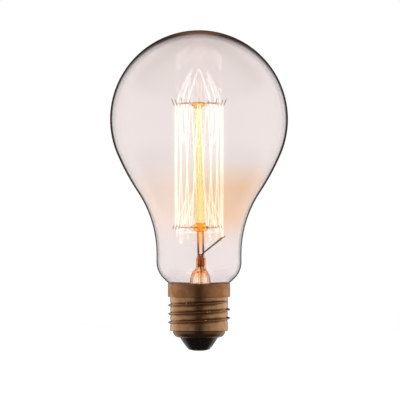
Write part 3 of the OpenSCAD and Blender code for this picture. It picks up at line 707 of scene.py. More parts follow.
def bulb_finish(lamp, at):
    """Blown glass, with the cage's warm glow painted into its colour and its emission, and painted
    shade where it is seen edge on.
    """
    finish = lamp.finish
    made, tree = clear_glass("clear_blown_glass")
    # Painted glow: the cage's warm light is painted into the glass's colour, strongest on faces towards the
    # eye and on the right.
    front = rest_of(tree, facing(tree, 0.0, 0.6))
    glow = times(tree, level_band(tree, *GLOW_LEVELS), front)
    right = between(tree, side_band(tree, 8.0, BEYOND, 22.0), *GLOW_SHARES)
    body = mixed(tree, times(tree, glow, right), finish.glass, finish.painted_glow_band)

    # Painted shade: the glass darkens where it is seen edge on, in a wider rim at the crown and the neck.
    crown = level_band(tree, at.crown_z / MM - 2.4, BEYOND, 1.6)
    neck = times(tree, level_band(tree, *NECK_SHADE_LEVELS), facing(tree, 0.12, 0.27))
    edge = larger(tree, facing(tree, 0.05, 0.15), neck)
    edge = larger(tree, edge, times(tree, crown, facing(tree, 0.06, 0.16)))
    tone = mixed(tree, edge, body, mixed(tree, crown, finish.glass_rim_shade, finish.crown_rim_shade))

    # Painted glow: faint emission round the cage and over the warm band.
    cage = level_band(tree, at.lower_ring / MM + 3, at.upper_ring / MM - 2, 5.0)
    cage = times(tree, times(tree, cage, side_band(tree, -8.0, 8.0, 5.0)), front)
    glow_emission = mixed(tree, glow, BLACK, (0.025, 0.016, 0.011))
    finished(
        made,
        Base_Color=mixed(tree, neck, tone, finish.neck_rim_shade),
        Emission_Color=mixed(tree, cage, glow_emission, (0.026, 0.022, 0.012)),
        Normal=relief(tree, (0.12, 0.12, 0.05), 0.02, 1.0, strength=0.4),
    )
    smoke = put(tree, "ShaderNodeVolumeAbsorption", {"Color": (0.62, 0.50, 0.42), "Density": 60.0})
    tree.links.new(smoke.outputs[0], tree.nodes["Material Output"].inputs["Volume"])
    return made


def stem_finish(lamp, at):
    """Drawn glass, with painted warm light under the pinch, painted dark red shade along its edges,
    and a painted glow that is warmest at its edges.
    """
    finish = lamp.finish
    made, tree = clear_glass("drawn_stem_glass", 0.02)
    # Painted warm light: the glass turns orange in a band under the pinch.
    lit = level_band(tree, at.pinch_z / MM - 0.6, at.pinch_top / MM, 1.6)
    body = mixed(tree, times(tree, lit, 0.5), finish.stem, (0.96, 0.60, 0.30))
    # Painted shade where the stem is seen edge on, broken up by grain, and painted glow as emission.
    edge = facing(tree, 0.40, 0.68)
    shaded_edge = times(tree, edge, between(tree, grain(tree, 0.9, 0.42, 0.60), 0.75, 1.0))
    return finished(
        made,
        Base_Color=mixed(tree, shaded_edge, body, finish.stem_edge_shade),
        Emission_Color=mixed(tree, edge, (0.07, 0.045, 0.022), (0.13, 0.040, 0.004)),
        Normal=relief(tree, 0.5, 0.06, 2.0),
    )


def pinch_finish(lamp, at):
    """Pressed glass, burnt dark round the sealed wires, tinted orange by painted warm light, with
    painted glow in its marks and painted shade at its edges.
    """
    made, tree = clear_glass("burnt_pinch_glass", 0.05)
    marks = grain(tree, (0.9, 0.5, 1.3), 0.36, 0.62)
    middle, top = lamp.stem.pinch_offset / MM, at.pinch_top / MM
    core = level_band(tree, top - 3.9, top - 0.7, 0.5)
    core = times(tree, core, side_band(tree, middle - 1.1, middle + 1.1, 0.6))
    # Painted warm light: the clear glass is tinted orange, unevenly through the marks.
    clear = mixed(tree, marks, (0.98, 0.72, 0.42), (0.92, 0.50, 0.20))
    body = mixed(tree, core, clear, mixed(tree, marks, (0.20, 0.035, 0.008), (0.42, 0.12, 0.03)))
    # Painted shade where the pinch is seen edge on, and painted glow as emission in the marks.
    return finished(
        made,
        Base_Color=mixed(tree, facing(tree, 0.2, 0.6), body, (0.55, 0.28, 0.14)),
        Emission_Color=mixed(tree, marks, (0.03, 0.006, 0.001), (0.16, 0.045, 0.006)),
        Normal=relief(tree, (0.6, 0.6, 1.2), 0.25),
    )


def rod_finish(lamp, at):
    """Solid glass: painted yellow glow inside the cage, amber under it with a painted glow in its
    middle, and painted shade along its edges that turns brown towards its melted foot.
    """
    finish = lamp.finish
    made, tree = clear_glass("solid_rod_glass", 0.02)
    button, top = at.lower_button / MM, at.pinch_top / MM
    # Painted glow: yellow colour and emission inside the cage.
    caged = level_band(tree, button + 1.0, BEYOND, 3.0)
    foot = level_band(tree, 0.0, button - 9.0, 4.0)
    melted = level_band(tree, 0.0, top + 0.7, 0.4)
    # Painted shade along the edges: pale yellow inside the cage, dark brown towards the foot. Below the cage
    # a painted glow lights the rod's middle.
    edge = facing(tree, 0.84, 0.97)
    body = mixed(tree, caged, mixed(tree, foot, finish.rod_below, (1.0, 0.80, 0.66)), finish.rod_cage_glow)
    below = mixed(tree, foot, (0.70, 0.26, 0.04), (0.07, 0.018, 0.005))
    rim = mixed(tree, caged, below, (0.88, 0.82, 0.26))
    lit_below = mixed(tree, edge, (0.10, 0.028, 0.006), BLACK)
    return finished(
        made,
        Base_Color=mixed(tree, melted, mixed(tree, edge, body, rim), (1.0, 0.88, 0.80)),
        Emission_Color=mixed(tree, caged, lit_below, (0.03, 0.045, 0.01)),
        Normal=relief(tree, (1.2, 1.2, 0.12), 0.03, 2.0),
    )


def button_finish(lamp):
    """Amber glass with swirls, with a painted glow from the cage in its middle and painted shade at its
    edges.
    """
    made, tree = clear_glass("amber_bead_glass", 0.05, 0.8)
    # Painted shade at the edges, and painted glow as emission in the middle.
    edge = facing(tree, 0.15, 0.6)
    body = mixed(tree, grain(tree, (0.5, 0.5, 1.2), 0.40, 0.62), lamp.finish.amber, (0.95, 0.62, 0.12))
    return finished(
        made,
        Base_Color=mixed(tree, edge, body, (0.60, 0.20, 0.02)),
        Emission_Color=mixed(tree, edge, (0.16, 0.085, 0.006), (0.03, 0.008, 0.0)),
        Normal=relief(tree, 0.8, 0.08, 2.0),
    )


def filament_finish(lamp):
    """Glowing coil, whose fine turns show along the wire. Its mirror images are brighter,
    because the eye sees the wire itself clipped to white."""
    finish = lamp.finish
    made, tree = new_finish("glowing_coil", Metallic=1.0, Emission_Strength=finish.filament_strength)
    mirrored, gain = light_path(tree, "Glossy Depth"), finish.filament_mirrored
    once = between(tree, mirrored, 1.0, gain)
    bright = sums(tree, "ADD", once, ramped(tree, mirrored, 1.0, 2.0, 0.0, 2 * gain))
    along = put(tree, "ShaderNodeAttribute", attribute_name="along").outputs["Fac"]
    turns = sums(tree, "SINE", times(tree, along, 2 * math.pi / COIL_PITCH))
    hot = ramped(tree, turns, -1.0, 1.0)
    glow = mixed(tree, hot, tuple(0.8 * c for c in finish.filament_glow), finish.filament_glow)
    return finished(
        made,
        Base_Color=mixed(tree, hot, (0.10, 0.07, 0.05), (0.30, 0.24, 0.18)),
        Emission_Color=vectors(tree, "SCALE", {0: glow, "Scale": bright}),
        Roughness=between(tree, hot, 0.6, 0.4),
        Normal=bumped(tree, turns, 0.03 * MM),
    )


def wire_finish(name):
    """Drawn wire: lines along it, and a duller colour in patches."""
    clean, dull, roughness, stretch = WIRES[name]
    made, tree = new_finish(name, Metallic=1.0)
    lines = grain(tree, stretch, 0.3, 0.7)
    patches = grain(tree, 0.7, 0.4, 0.62)
    return finished(
        made,
        Base_Color=mixed(tree, times(tree, lines, 0.35), mixed(tree, patches, clean, dull), dull),
        Roughness=between(tree, patches, roughness, roughness + 0.25),
        Normal=bumped(tree, lines, 0.012 * MM),
    )


def brass_finish(lamp, at):
    """Antique brass with a browner collar and a darker lip in painted shade. Patina darkens the
    thread's hollows and painted shade the ridges' flanks; the crests are brighter with wear and a painted
    highlight.
    """
    finish, cap = lamp.finish, lamp.cap
    made, tree = new_finish("antique_brass", Metallic=1.0)
    root, crest = cap.thread_root / 2 / MM, cap.thread / 2 / MM
    collar = level_band(tree, at.collar_z / MM, at.rim_z / MM, 0.1)
    lip = level_band(tree, 0.0, at.thread_z / MM, 0.1)
    crests = radial_depth(tree, root + 0.40, crest - 0.18)
    # Painted shade along the ridges' flanks, off the crests and the collar.
    flanks = times(tree, radial_depth(tree, root + 0.02, root + 0.22), rest_of(tree, crests))
    flanks = times(tree, sums(tree, "SUBTRACT", flanks, collar), 0.85)
    open_face = larger(tree, radial_depth(tree, root - 0.34, root - 0.02), larger(tree, collar, lip))
    clouds = grain(tree, 0.32, 0.38, 0.66)
    specks = grain(tree, 2.2, 0.56, 0.72)
    scratches = grain(tree, (0.25, 0.25, 9.0), 0.60, 0.72, 6.0)

    tone = mixed(tree, collar, finish.brass, finish.brass_collar)
    # Painted shade: the lip is darker.
    tone = mixed(tree, lip, tone, finish.brass_lip_shade)
    hollows = between(tree, open_face, 0.8, 0.0)
    # Patina from grain and in the hollows, and painted shade on the flanks, all darken the tone.
    for patina_and_shade in (times(tree, clouds, 0.25), times(tree, specks, 0.25), hollows, flanks):
        tone = mixed(tree, patina_and_shade, tone, finish.brass_dark)
    # Crests brighter with wear and a painted highlight, with bright scratches.
    wear_and_highlight = times(tree, sums(tree, "SUBTRACT", crests, collar), 0.4)
    wear_and_highlight = larger(tree, wear_and_highlight, times(tree, scratches, 0.2))
    rough = between(tree, clouds, 0.18, 0.30)
    height = sums(tree, "ADD", grain(tree, 1.6, output="Height"), times(tree, scratches, -0.4))
    return finished(
        made,
        Base_Color=mixed(tree, wear_and_highlight, tone, finish.brass_wear_highlight),
        Roughness=sums(tree, "ADD", rough, times(tree, crests, 0.12)),
        Normal=bumped(tree, height, 0.02 * MM),
    )


def insulator_finish():
    """Black poured glass with fine pits."""
    made, tree = new_finish("black_poured_glass", IOR=1.5)
    pits = grain(tree, 1.1, 0.55, 0.72)
    return finished(
        made,
        Base_Color=mixed(tree, pits, (0.004, 0.003, 0.004), (0.012, 0.009, 0.010)),
        Roughness=between(tree, pits, 0.22, 0.5),
        Normal=relief(tree, 0.45, 0.25, 2.0),
    )


def contact_finish():
    """Tarnished brass, rubbed brighter where the holder's contact presses."""
    made, tree = new_finish("tarnished_brass", Metallic=1.0)
    tarnish = grain(tree, 0.9, 0.36, 0.62)
    rubbed = between(tree, radial_depth(tree, 1.2, 3.4), 0.5, 0.0)
    tone = mixed(tree, tarnish, (0.10, 0.075, 0.055), (0.045, 0.035, 0.030))
    return finished(
        made,
        Base_Color=mixed(tree, rubbed, tone, (0.30, 0.20, 0.11)),
        Roughness=between(tree, tarnish, 0.35, 0.6),
        Normal=relief(tree, 3.0, 0.03),
    )


def solder_finish():
    """Dull tin solder with a frosted skin."""
    made, tree = new_finish("dull_solder", Metallic=1.0)
    frost = grain(tree, 1.8, 0.38, 0.64)
    return finished(
        made,
        Base_Color=mixed(tree, frost, (0.52, 0.51, 0.49), (0.30, 0.29, 0.28)),
        Roughness=between(tree, frost, 0.28, 0.55),
        Normal=relief(tree, 1.2, 0.12),
    )


def cement_finish():
    """Baked cement, sandy and stained."""
    made, tree = new_finish("baked_cement", IOR=1.5)
    sand = grain(tree, 2.6, 0.35, 0.65, 8.0)
    tone = mixed(tree, sand, (0.50, 0.45, 0.37), (0.36, 0.31, 0.25))
    return finished(
        made,
        Base_Color=mixed(tree, times(tree, grain(tree, 0.35, 0.42, 0.66), 0.5), tone, (0.26, 0.18, 0.12)),
        Roughness=between(tree, sand, 0.8, 0.95),
        Normal=relief(tree, 2.6, 0.2, 8.0),
    )


# Pieces


class LampOperator:
    """What every operator here shares: the settings, the levels and the undo option."""

    bl_options = {"REGISTER", "UNDO"}

    def execute(self, context):
        lamp = context.scene.filament_lamp
        self.make(lamp, Levels(lamp))
        return {"FINISHED"}


class LAMP_OT_bulb(LampOperator, Operator):
    """Blow the clear bulb, as one wall with a thicker crown"""

    bl_idname = "filament_lamp.bulb"
    bl_label = "Bulb"

    def make(self, lamp, at):
        bulb = lamp.bulb
        drop = (bulb.crown_wall - bulb.wall) / (1 + math.sin(bulb.belly_angle))
        outer = bulb_face(lamp, at, 0.0, 0.0)
        inner = bulb_face(lamp, at, bulb.wall, drop)
        outer[0], inner[0] = (0.0, outer[0][1]), (0.0, inner[0][1])
        shape = turned(outer + inner[::-1], 192)
        make_glass("blown_bulb", shape, ["glass_envelope"], bulb_finish(lamp, at))


class LAMP_OT_stem(LampOperator, Operator):
    """Form the flared stem tube, its pump tube and the pinch on top"""

    bl_idname = "filament_lamp.stem"
    bl_label = "Stem"

    def make(self, lamp, at):
        stem, glass = lamp.stem, stem_finish(lamp, at)
        outer, inner = stem_face(lamp, at, 0.0), stem_face(lamp, at, stem.wall)
        profile = outer + [(inner[-1][0], at.pinch_z)] + inner[::-1]
        tube = turned(profile, 96, closed=True, shift=at.stem_x)
        make_glass("flared_stem", tube, ["stem_flare"], glass)
        tube = turned(self.pump_profile(stem, at), 48, shift=lambda z: stem.pinch_offset)
        make_glass("sealed_pump_tube", tube, ["pump_tube"], glass)
        burnt = pinch_finish(lamp, at)
        make_glass("pressed_pinch", self.pinch(stem, at), ["stem_pinch"], burnt, 50)

    def pump_profile(self, stem, at):
        """Half section of the pump tube, melted shut to a thin round tip."""
        outer_r = stem.pump_tube / 2
        bore_r = outer_r - stem.pump_wall
        tip, top = at.root_z + stem.pump_tip, at.pinch_z + 0.6 * MM
        shoulder = tip + bore_r + 2 * MM
        profile = [(0.0, tip)] + arc(0, tip + bore_r, bore_r, -math.pi / 2, 0, 8)[1:]
        profile += [(outer_r, shoulder), (outer_r, top), (bore_r, top)]
        return profile + [(bore_r, shoulder), (0.0, tip + 2 * bore_r)]

    def pinch(self, stem, at):
        """The pinch: it starts as round as the dome, turns flat, and keeps the jaws' marks."""
        waist_depth, jaw_depth, jaw_pitch = 0.22 * MM, 0.10 * MM, 1.15 * MM
        rise = 40
        rows = [[(at.stem_x(at.pinch_z), 0, at.pinch_z)]]
        for i in range(rise + 1):
            z = at.pinch_z + stem.pinch_height * i / rise
            lift = z - at.pinch_z
            turn = smooth_step(0, stem.pinch_turn, lift)
            cap_in = smooth_step(at.pinch_top - 1.0 * MM, at.pinch_top + 0.9 * MM, z)
            waist = waist_depth * math.sin(math.pi * min(1, lift / stem.pinch_turn)) ** 2
            half_x = (1 - turn) * stem.dome_top / 2 + turn * stem.pinch_thickness / 2 - waist
            half_y = (1 - turn) * stem.dome_top / 2 + turn * stem.pinch_width / 2 - waist
            jaw = jaw_depth * turn * math.cos(2 * math.pi * lift / jaw_pitch)
            power = 1 - 0.35 * turn
            place = at.stem_x(z) + (stem.pinch_offset - STEM_LEAN) * turn
            row = []
            for a in full_turn(64):
                c, s = math.cos(a), math.sin(a)
                x = (half_x - jaw * abs(c)) * (1 - 0.35 * cap_in) * math.copysign(abs(c) ** power, c)
                y = half_y * (1 - 0.12 * cap_in) * math.copysign(abs(s) ** power, s)
                row.append((place + x, y, z))
            rows.append(row)
        return lofted(rows + [[(stem.pinch_offset, 0, at.pinch_top)]])


class LAMP_OT_rod(LampOperator, Operator):
    """Draw the leaning glass rod with its melted foot"""

    bl_idname = "filament_lamp.rod"
    bl_label = "Support rod"

    def make(self, lamp, at):
        lean, radius = lamp.stem.rod_lean, lamp.stem.rod / 2
        top = (at.upper_button - at.pinch_top) / math.cos(lean) - 0.8 * MM
        foot, edge, steps = 0.9 * MM, 0.35 * MM, 60
        profile = [(0.0, 0.0)]
        profile += [(radius + 0.25 * MM * (1 - k / 6) ** 2, foot * k / 6) for k in range(7)]
        for k in range(1, steps):
            z = foot + (top - foot - 0.4 * MM) * k / steps
            wave = 0.012 * math.sin(z / (3.1 * MM)) * math.sin(z / (7.3 * MM))
            profile.append((radius * (1 + wave), z))
        profile += arc(radius - edge, top - edge, edge, 0, math.pi / 2, 6) + [(0.0, top)]
        shape = tilted(turned(profile, 48), at, at.pinch_top, lean)
        make_glass("glass_rod", shape, ["support_rod"], rod_finish(lamp, at))


class LAMP_OT_buttons(LampOperator, Operator):
    """Melt the two amber buttons that hold the hooks"""

    bl_idname = "filament_lamp.buttons"
    bl_label = "Glass buttons"

    def make(self, lamp, at):
        stem, glass = lamp.stem, button_finish(lamp)
        bore = stem.rod / 2 + 0.03 * MM
        half, swell = stem.lower_button_height / 2, stem.lower_button / 2 - bore
        turns = [math.pi * (k / 24 - 0.5) for k in range(1, 24)]
        profile = [(bore + swell * math.cos(a) ** 0.9, half * math.sin(a)) for a in turns]
        profile = [(bore, -half * 0.97)] + profile + [(bore, half * 0.97)]
        shape = tilted(turned(profile, 64, closed=True), at, at.lower_button, stem.rod_lean)
        make_glass("lower_bead", shape, ["lower_button"], glass)

        top, edge, rod_end = 0.45 * MM, 0.95 * MM, -0.75 * MM
        foot, flat = top - stem.upper_button_height, stem.upper_button / 2 - edge
        profile = [(0.0, rod_end), (bore, rod_end), (bore, foot)]
        profile += [(bore + 0.05 * MM, foot), (bore + 0.12 * MM, foot + 0.5 * MM)]
        profile += arc(flat, top - edge, edge, math.radians(-50), math.radians(88), 18)
        for k in range(1, 6):
            profile.append((flat * (1 - k / 5), top + 0.06 * MM * math.sin(math.pi * k / 10)))
        shape = tilted(turned(profile, 64), at, at.upper_button, stem.rod_lean)
        make_glass("melted_head", shape, ["upper_button"], glass, 50)


def hook_direction(lamp, at, upper, number):
    """Direction of a hook. The upper and the lower ones take turns, from one side of the gap."""
    return lamp.cage.gap - at.hook_step * (2 * number - (1 if upper else 0))


def hook_route(lamp, at, upper, number):
    """Route of a hook: straight out of its button, into the seat, and on to its free end."""
    cage = lamp.cage
    way = 1 if upper else -1
    ring = at.upper_ring if upper else at.lower_ring
    tip = cage.upper_tip if upper else cage.lower_tip
    leg_in, leg_out = math.radians(55), math.radians(68)
    level = ring + way * cage.hook_rise
    start = Vector((at.rod_x(level), 0, level))
    foot = around(hook_direction(lamp, at, upper, number), cage.radius, ring)
    out = Vector((foot.x - start.x, foot.y - start.y, 0)).normalized()
    up = Vector((0, 0, way))

    def seat(turn):
        """A place on the hook's seat."""
        return foot + cage.hook_seat * (math.sin(turn) * out + (1 - math.cos(turn)) * up)

    rise = cage.hook_rise - cage.hook_seat * (1 - math.cos(leg_in))
    crook = seat(-leg_in) - rise / math.tan(leg_in) * out + rise * up
    root = lamp.stem.rod / 2 + 0.2 * MM
    route = eased([start + root * out, crook, seat(-leg_in)], 0.35 * MM)[:-1]
    route += [seat(-leg_in + (leg_in + leg_out) * k / 14) for k in range(15)]
    heading = math.cos(leg_out) * out + math.sin(leg_out) * up
    return route + [route[-1] + tip * share * heading for share in (0.5, 1.0)]


class LAMP_OT_hooks(LampOperator, Operator):
    """Bend the hooks that carry the filament, each to its own length"""

    bl_idname = "filament_lamp.hooks"
    bl_label = "Hooks"

    def make(self, lamp, at):
        cage, finish = lamp.cage, wire_finish("drawn_hook_wire")
        for upper, word, count in ((True, "upper", cage.hooks), (False, "lower", cage.hooks - 1)):
            for number in range(1, count + 1):
                name, nodes = f"{word}_wire_hook_{number}", [f"{word}_hook_{number}"]
                route = hook_route(lamp, at, upper, number)
                make_wire(name, route, cage.hook_wire, nodes, finish, 10)


def clamp_ends(lamp, at):
    """Where the two leads clamp the filament's ends."""
    cage = lamp.cage
    return [around(cage.gap + side * cage.clamp_spread, cage.radius, at.clamp_z) for side in (-1, 1)]


class LAMP_OT_filament(LampOperator, Operator):
    """Hang the glowing filament round its hooks, as one unbroken wire"""

    bl_idname = "filament_lamp.filament"
    bl_label = "Filament"

    def make(self, lamp, at):
        cage = lamp.cage
        bend_r = cage.hook_wire / 2 + cage.filament / 2 + cage.slack

        def bend(upper, number):
            """Half a turn of the filament round a hook's wire."""
            direction = hook_direction(lamp, at, upper, number)
            centre = around(direction, cage.radius, at.upper_ring if upper else at.lower_ring)
            along = -Vector((math.cos(direction), math.sin(direction), 0))
            up = Vector((0, 0, 1 if upper else -1))
            return [centre + bend_r * (-math.cos(t) * along + math.sin(t) * up) for t in half_turn(12)]

        bends = bend(True, 1)
        for number in range(1, cage.hooks):
            bends += bend(False, number) + bend(True, number + 1)
        first, last = clamp_ends(lamp, at)
        tail = 1 * MM
        route = [first + tail * (first - bends[0]).normalized()] + bends
        route += [last + tail * (last - bends[-1]).normalized()]
        shape, along = swept(filled(route, 2.5 * MM), cage.filament / 2, 10)
        make_piece("hung_filament", shape, ["filament"], filament_finish(lamp), 60, along)


class LAMP_OT_leads(LampOperator, Operator):
    """Fold the two nickel leads round the filament's ends"""

    bl_idname = "filament_lamp.leads"
    bl_label = "Inner leads"

    def make(self, lamp, at):
        cage, nickel = lamp.cage, wire_finish("drawn_nickel")
        gap = cage.lead / 2 + cage.filament / 2 + cage.slack
        for side, name, end in zip((-1, 1), ("front", "back"), clamp_ends(lamp, at)):
            foot = Vector((lamp.stem.pinch_offset, side * cage.lead_spacing / 2, at.pinch_top))
            rise = foot + Vector((0, 0, 0.9 * MM))
            heading = (end - rise).normalized()
            across = heading.cross(Vector((0, 0, 1))).normalized()
            fold = end + 0.3 * MM * heading
            bend = [-side * math.cos(t) * across + math.sin(t) * heading for t in half_turn(14)]
            bend = [fold + gap * way for way in bend]
            arm = end - side * gap * across - 0.9 * MM * heading
            route = eased([foot, rise, arm, bend[0]], 0.5 * MM)[:-1] + bend
            route.append(bend[-1] - 1.2 * MM * heading)
            nodes = [f"inner_lead_{name}"]
            make_wire(f"{name}_clamp_lead", route, cage.lead, nodes, nickel, 14)


class LAMP_OT_cap_wires(LampOperator, Operator):
    """Run the seal wires, the fuse and the copper leads down to their joints"""

    bl_idname = "filament_lamp.cap_wires"
    bl_label = "Seal wires, fuse and copper leads"

    def make(self, lamp, at):
        cage, cap = lamp.cage, lamp.cap
        x, y = lamp.stem.pinch_offset, cage.lead_spacing / 2
        red, copper, tin = [wire_finish(name) for name in ("red_clad_wire", "drawn_copper", "tinned_fuse")]
        for side, name in ((-1, "front"), (1, "back")):
            route = [(x, side * y, at.pinch_z), (x, side * y, at.pinch_top)]
            make_wire(f"{name}_sealed_wire", route, cage.seal_wire, [f"seal_wire_{name}"], red)
        fuse_foot = at.fuse_top - cage.fuse_height
        wall_r, run_r = cap.collar / 2 - cap.sheet, at.root_r + 0.55 * MM
        lower = [(x, -y, fuse_foot), (x, -y, at.lead_turn), (0, 0, at.eyelet_top + 1.5 * MM)]
        lower.append((0, 0, cap.solder_height / 3))
        side = [(x, y, at.pinch_z), (x, y, at.lead_turn), (0, run_r, at.lead_turn)]
        side += [(0, run_r, at.side_joint - 1.8 * MM), (0, wall_r - 0.6 * MM, at.side_joint)]
        side.append((0, wall_r, at.side_joint))
        for name, node, route in (
            ("upper_copper_lead", "centre_lead_upper", [(x, -y, at.pinch_z), (x, -y, at.fuse_top)]),
            ("lower_copper_lead", "centre_lead_lower", eased(lower, 1 * MM)),
            ("side_copper_lead", "side_lead", eased(side, 0.3 * MM)),
        ):
            make_wire(name, route, cage.outer_lead, [node], copper)
        fuse = [(x, -y, at.fuse_top), (x, -y, fuse_foot)]
        make_wire("thin_fuse", fuse, cage.fuse, ["fuse_wire"], tin)


def thread_radius(cap, at, turn, z):
    """Radius of the rolled thread at a turn in degrees from +X and a height."""
    place = (z - at.thread_start) / cap.pitch - turn / 360
    number = math.floor(place)
    share = place - number
    run = 360 * number + turn
    fade = max(0.0, min(1.0, run / 60, (360 * cap.turns - run) / 60))
    hollow = cap.ridge_hollow * (1 - math.cos(2 * math.pi * share)) / 2
    off = abs(share - 0.5) / cap.ridge_share
    ridge = (1 + math.cos(2 * math.pi * off)) / 2 if off < 0.5 else 0.0
    rise = (cap.thread - cap.thread_root) / 2 + cap.ridge_hollow
    return cap.thread_root / 2 + fade * (rise * ridge - hollow)


class LAMP_OT_screw_shell(LampOperator, Operator):
    """Roll the brass shell: lip, screw thread and plain collar in one sheet"""

    bl_idname = "filament_lamp.screw_shell"
    bl_label = "Screw shell"

    def make(self, lamp, at):
        shape = lofted(self.rows(lamp.cap, at), closed=True)
        finish = brass_finish(lamp, at)
        piece = make_piece("rolled_shell", shape, ["screw_shell"], finish, 75)
        self.cut_notch(piece, lamp.cap, at)

    def rows(self, cap, at):
        """Rings of the sheet, from the lip's end up its outer face and down its inner face."""
        root, sheet, collar = cap.thread_root / 2, cap.sheet, cap.collar / 2
        lip_x, lip_z = cap.lip / 2 - cap.lip_round, at.lip_z + cap.lip_round
        bead = root + 0.05 * MM
        foot = arc(lip_x, lip_z, cap.lip_round, -math.pi / 2, 0, 14)
        foot += arc(bead - 0.3 * MM, at.thread_z - 0.02 * MM, 0.18 * MM, -math.pi / 2, -0.2, 5)
        foot += arc(bead - 0.14 * MM, at.thread_z + 0.02 * MM, 0.14 * MM, 0, 0.5, 3)
        low, high = at.thread_z + 0.12 * MM, at.collar_z - 0.05 * MM
        count = round((high - low) / THREAD_ROW)
        heights = [low + (high - low) * k / count for k in range(count + 1)]
        corner, rim = 0.28 * MM, 0.12 * MM
        inner_z = at.collar_z + 0.45 * MM
        over = arc(collar - corner, at.collar_z + corner, corner, -math.pi / 2, 0, 7)
        over += [(collar, at.collar_z + cap.collar_height * share) for share in (0.3, 0.5, 0.7)]
        over += arc(collar - rim, at.rim_z - rim, rim, 0, math.pi / 2, 5)
        over += [(collar - sheet, at.rim_z - 0.06 * MM), (collar - sheet, inner_z)]
        over += [(root - sheet - 0.12 * MM, inner_z)]
        over += [(root - sheet - 0.36 * MM, z) for z in (high, low)]
        over += arc(lip_x, lip_z, cap.lip_round - sheet, 0, -math.pi / 2, 12)
        turns = full_turn(180)

        def ring(z, radii):
            """A ring of points, each at a radius of its own."""
            return [(radius * math.cos(t), radius * math.sin(t), z) for radius, t in zip(radii, turns)]

        rows = [ring(z, [radius] * len(turns)) for radius, z in foot]
        rows += [ring(z, [thread_radius(cap, at, math.degrees(t), z) for t in turns]) for z in heights]
        return rows + [ring(z, [radius] * len(turns)) for radius, z in over]

    def cut_notch(self, piece, cap, at):
        """Cuts the notch for the side lead out of the rim."""
        half, wall, depth = cap.notch / 2, cap.collar / 2, cap.notch
        ys, zs = (wall - 1 * MM, wall + 1 * MM), (at.rim_z - depth, at.rim_z + 1 * MM)
        corners = [(x, y, z) for x in (-half, half) for y in ys for z in zs]
        sides = [(0, 1, 3, 2), (4, 6, 7, 5), (0, 4, 5, 1), (2, 3, 7, 6), (0, 2, 6, 4), (1, 5, 7, 3)]
        cutter = placed("notch_cutter", new_mesh("notch_cutter", corners, sides))
        cut = piece.modifiers.new("notch", "BOOLEAN")
        cut.operation, cut.solver, cut.object = "DIFFERENCE", "EXACT", cutter
        view = bpy.context.evaluated_depsgraph_get()
        done = bpy.data.meshes.new_from_object(piece.evaluated_get(view))
        piece.modifiers.clear()
        piece.data = done
        bpy.data.objects.remove(cutter)


class LAMP_OT_insulator(LampOperator, Operator):
    """Pour the black glass between the lip and the end contact"""

    bl_idname = "filament_lamp.insulator"
    bl_label = "Insulator"

    def make(self, lamp, at):
        cap = lamp.cap
        flat, edge, sheet = cap.contact_flat / 2, cap.contact / 2, cap.contact_sheet
        foot, top = cap.insulator_foot / 2, cap.insulator_top / 2
        inner_r, core = cap.eyelet_bore / 2 + sheet, cap.eyelet_head / 2 + 0.5 * MM
        lip_x, lip_z = cap.lip / 2 - cap.lip_round, at.lip_z + cap.lip_round
        seat = [flat + (edge - flat) * k / 8 for k in range(9)]
        profile = [(inner_r, sheet)] + [(radius, contact_drop(cap, radius) + sheet) for radius in seat]
        profile += arc(foot - 0.25 * MM, at.insulator_z + 0.25 * MM, 0.25 * MM, -1.2, -0.5, 4)
        for share in [k / 15 for k in range(1, 15)]:
            swell = 0.12 * MM * math.sin(math.pi * share)
            radius = foot + (top - foot) * share + swell
            profile.append((radius, at.insulator_z + cap.insulator_height * share - 0.25 * swell))
        profile += arc(top + 0.1 * MM, at.lip_z - 0.3 * MM, 0.3 * MM, math.pi - 0.9, math.pi / 2, 4)
        profile += arc(lip_x, lip_z, cap.lip_round - cap.sheet, -math.pi / 2, 0, 10)
        profile += [(core + 2 * MM, lip_z), (core, at.eyelet_top), (inner_r, at.eyelet_top)]
        shape = turned(profile, 120, closed=True)
        make_piece("poured_insulator", shape, ["insulator"], insulator_finish())


class LAMP_OT_contact(LampOperator, Operator):
    """Press the domed end contact with its eyelet, and fill the eyelet with solder"""

    bl_idname = "filament_lamp.contact"
    bl_label = "End contact and solder"

    def make(self, lamp, at):
        cap = lamp.cap
        bore, sheet, head = cap.eyelet_bore / 2, cap.contact_sheet, cap.eyelet_head / 2
        flat, edge = cap.contact_flat / 2, cap.contact / 2
        face = [flat + (edge - 0.12 * MM - flat) * k / 12 for k in range(13)]
        profile = [(bore, 0.0)] + [(radius, contact_drop(cap, radius)) for radius in face]
        edge_z = contact_drop(cap, edge) + sheet / 2
        profile += arc(edge - 0.14 * MM, edge_z, 0.14 * MM, -0.9, 1.3, 6)
        profile += [(radius, contact_drop(cap, radius) + sheet) for radius in face[::-1]]
        profile += [(bore + sheet, sheet), (bore + sheet, at.eyelet_top)]
        clench_z = at.eyelet_top + sheet / 2
        profile += arc(head - sheet / 2, clench_z, sheet / 2, -math.pi / 2, math.pi / 2, 6)
        profile += [(bore, at.eyelet_top + sheet)]
        shape = turned(profile, 96, closed=True)
        make_piece("domed_contact", shape, ["centre_contact"], contact_finish())

        top = cap.solder_height
        profile = [(0.0, 0.02 * MM), (bore * 0.6, 0.03 * MM), (bore, 0.0), (bore, top - 0.3 * MM)]
        profile += [(bore * 0.7, top - 0.16 * MM), (bore * 0.35, top - 0.04 * MM), (0.0, top)]
        make_piece("eyelet_solder", turned(profile, 48), ["contact_solder"], solder_finish())


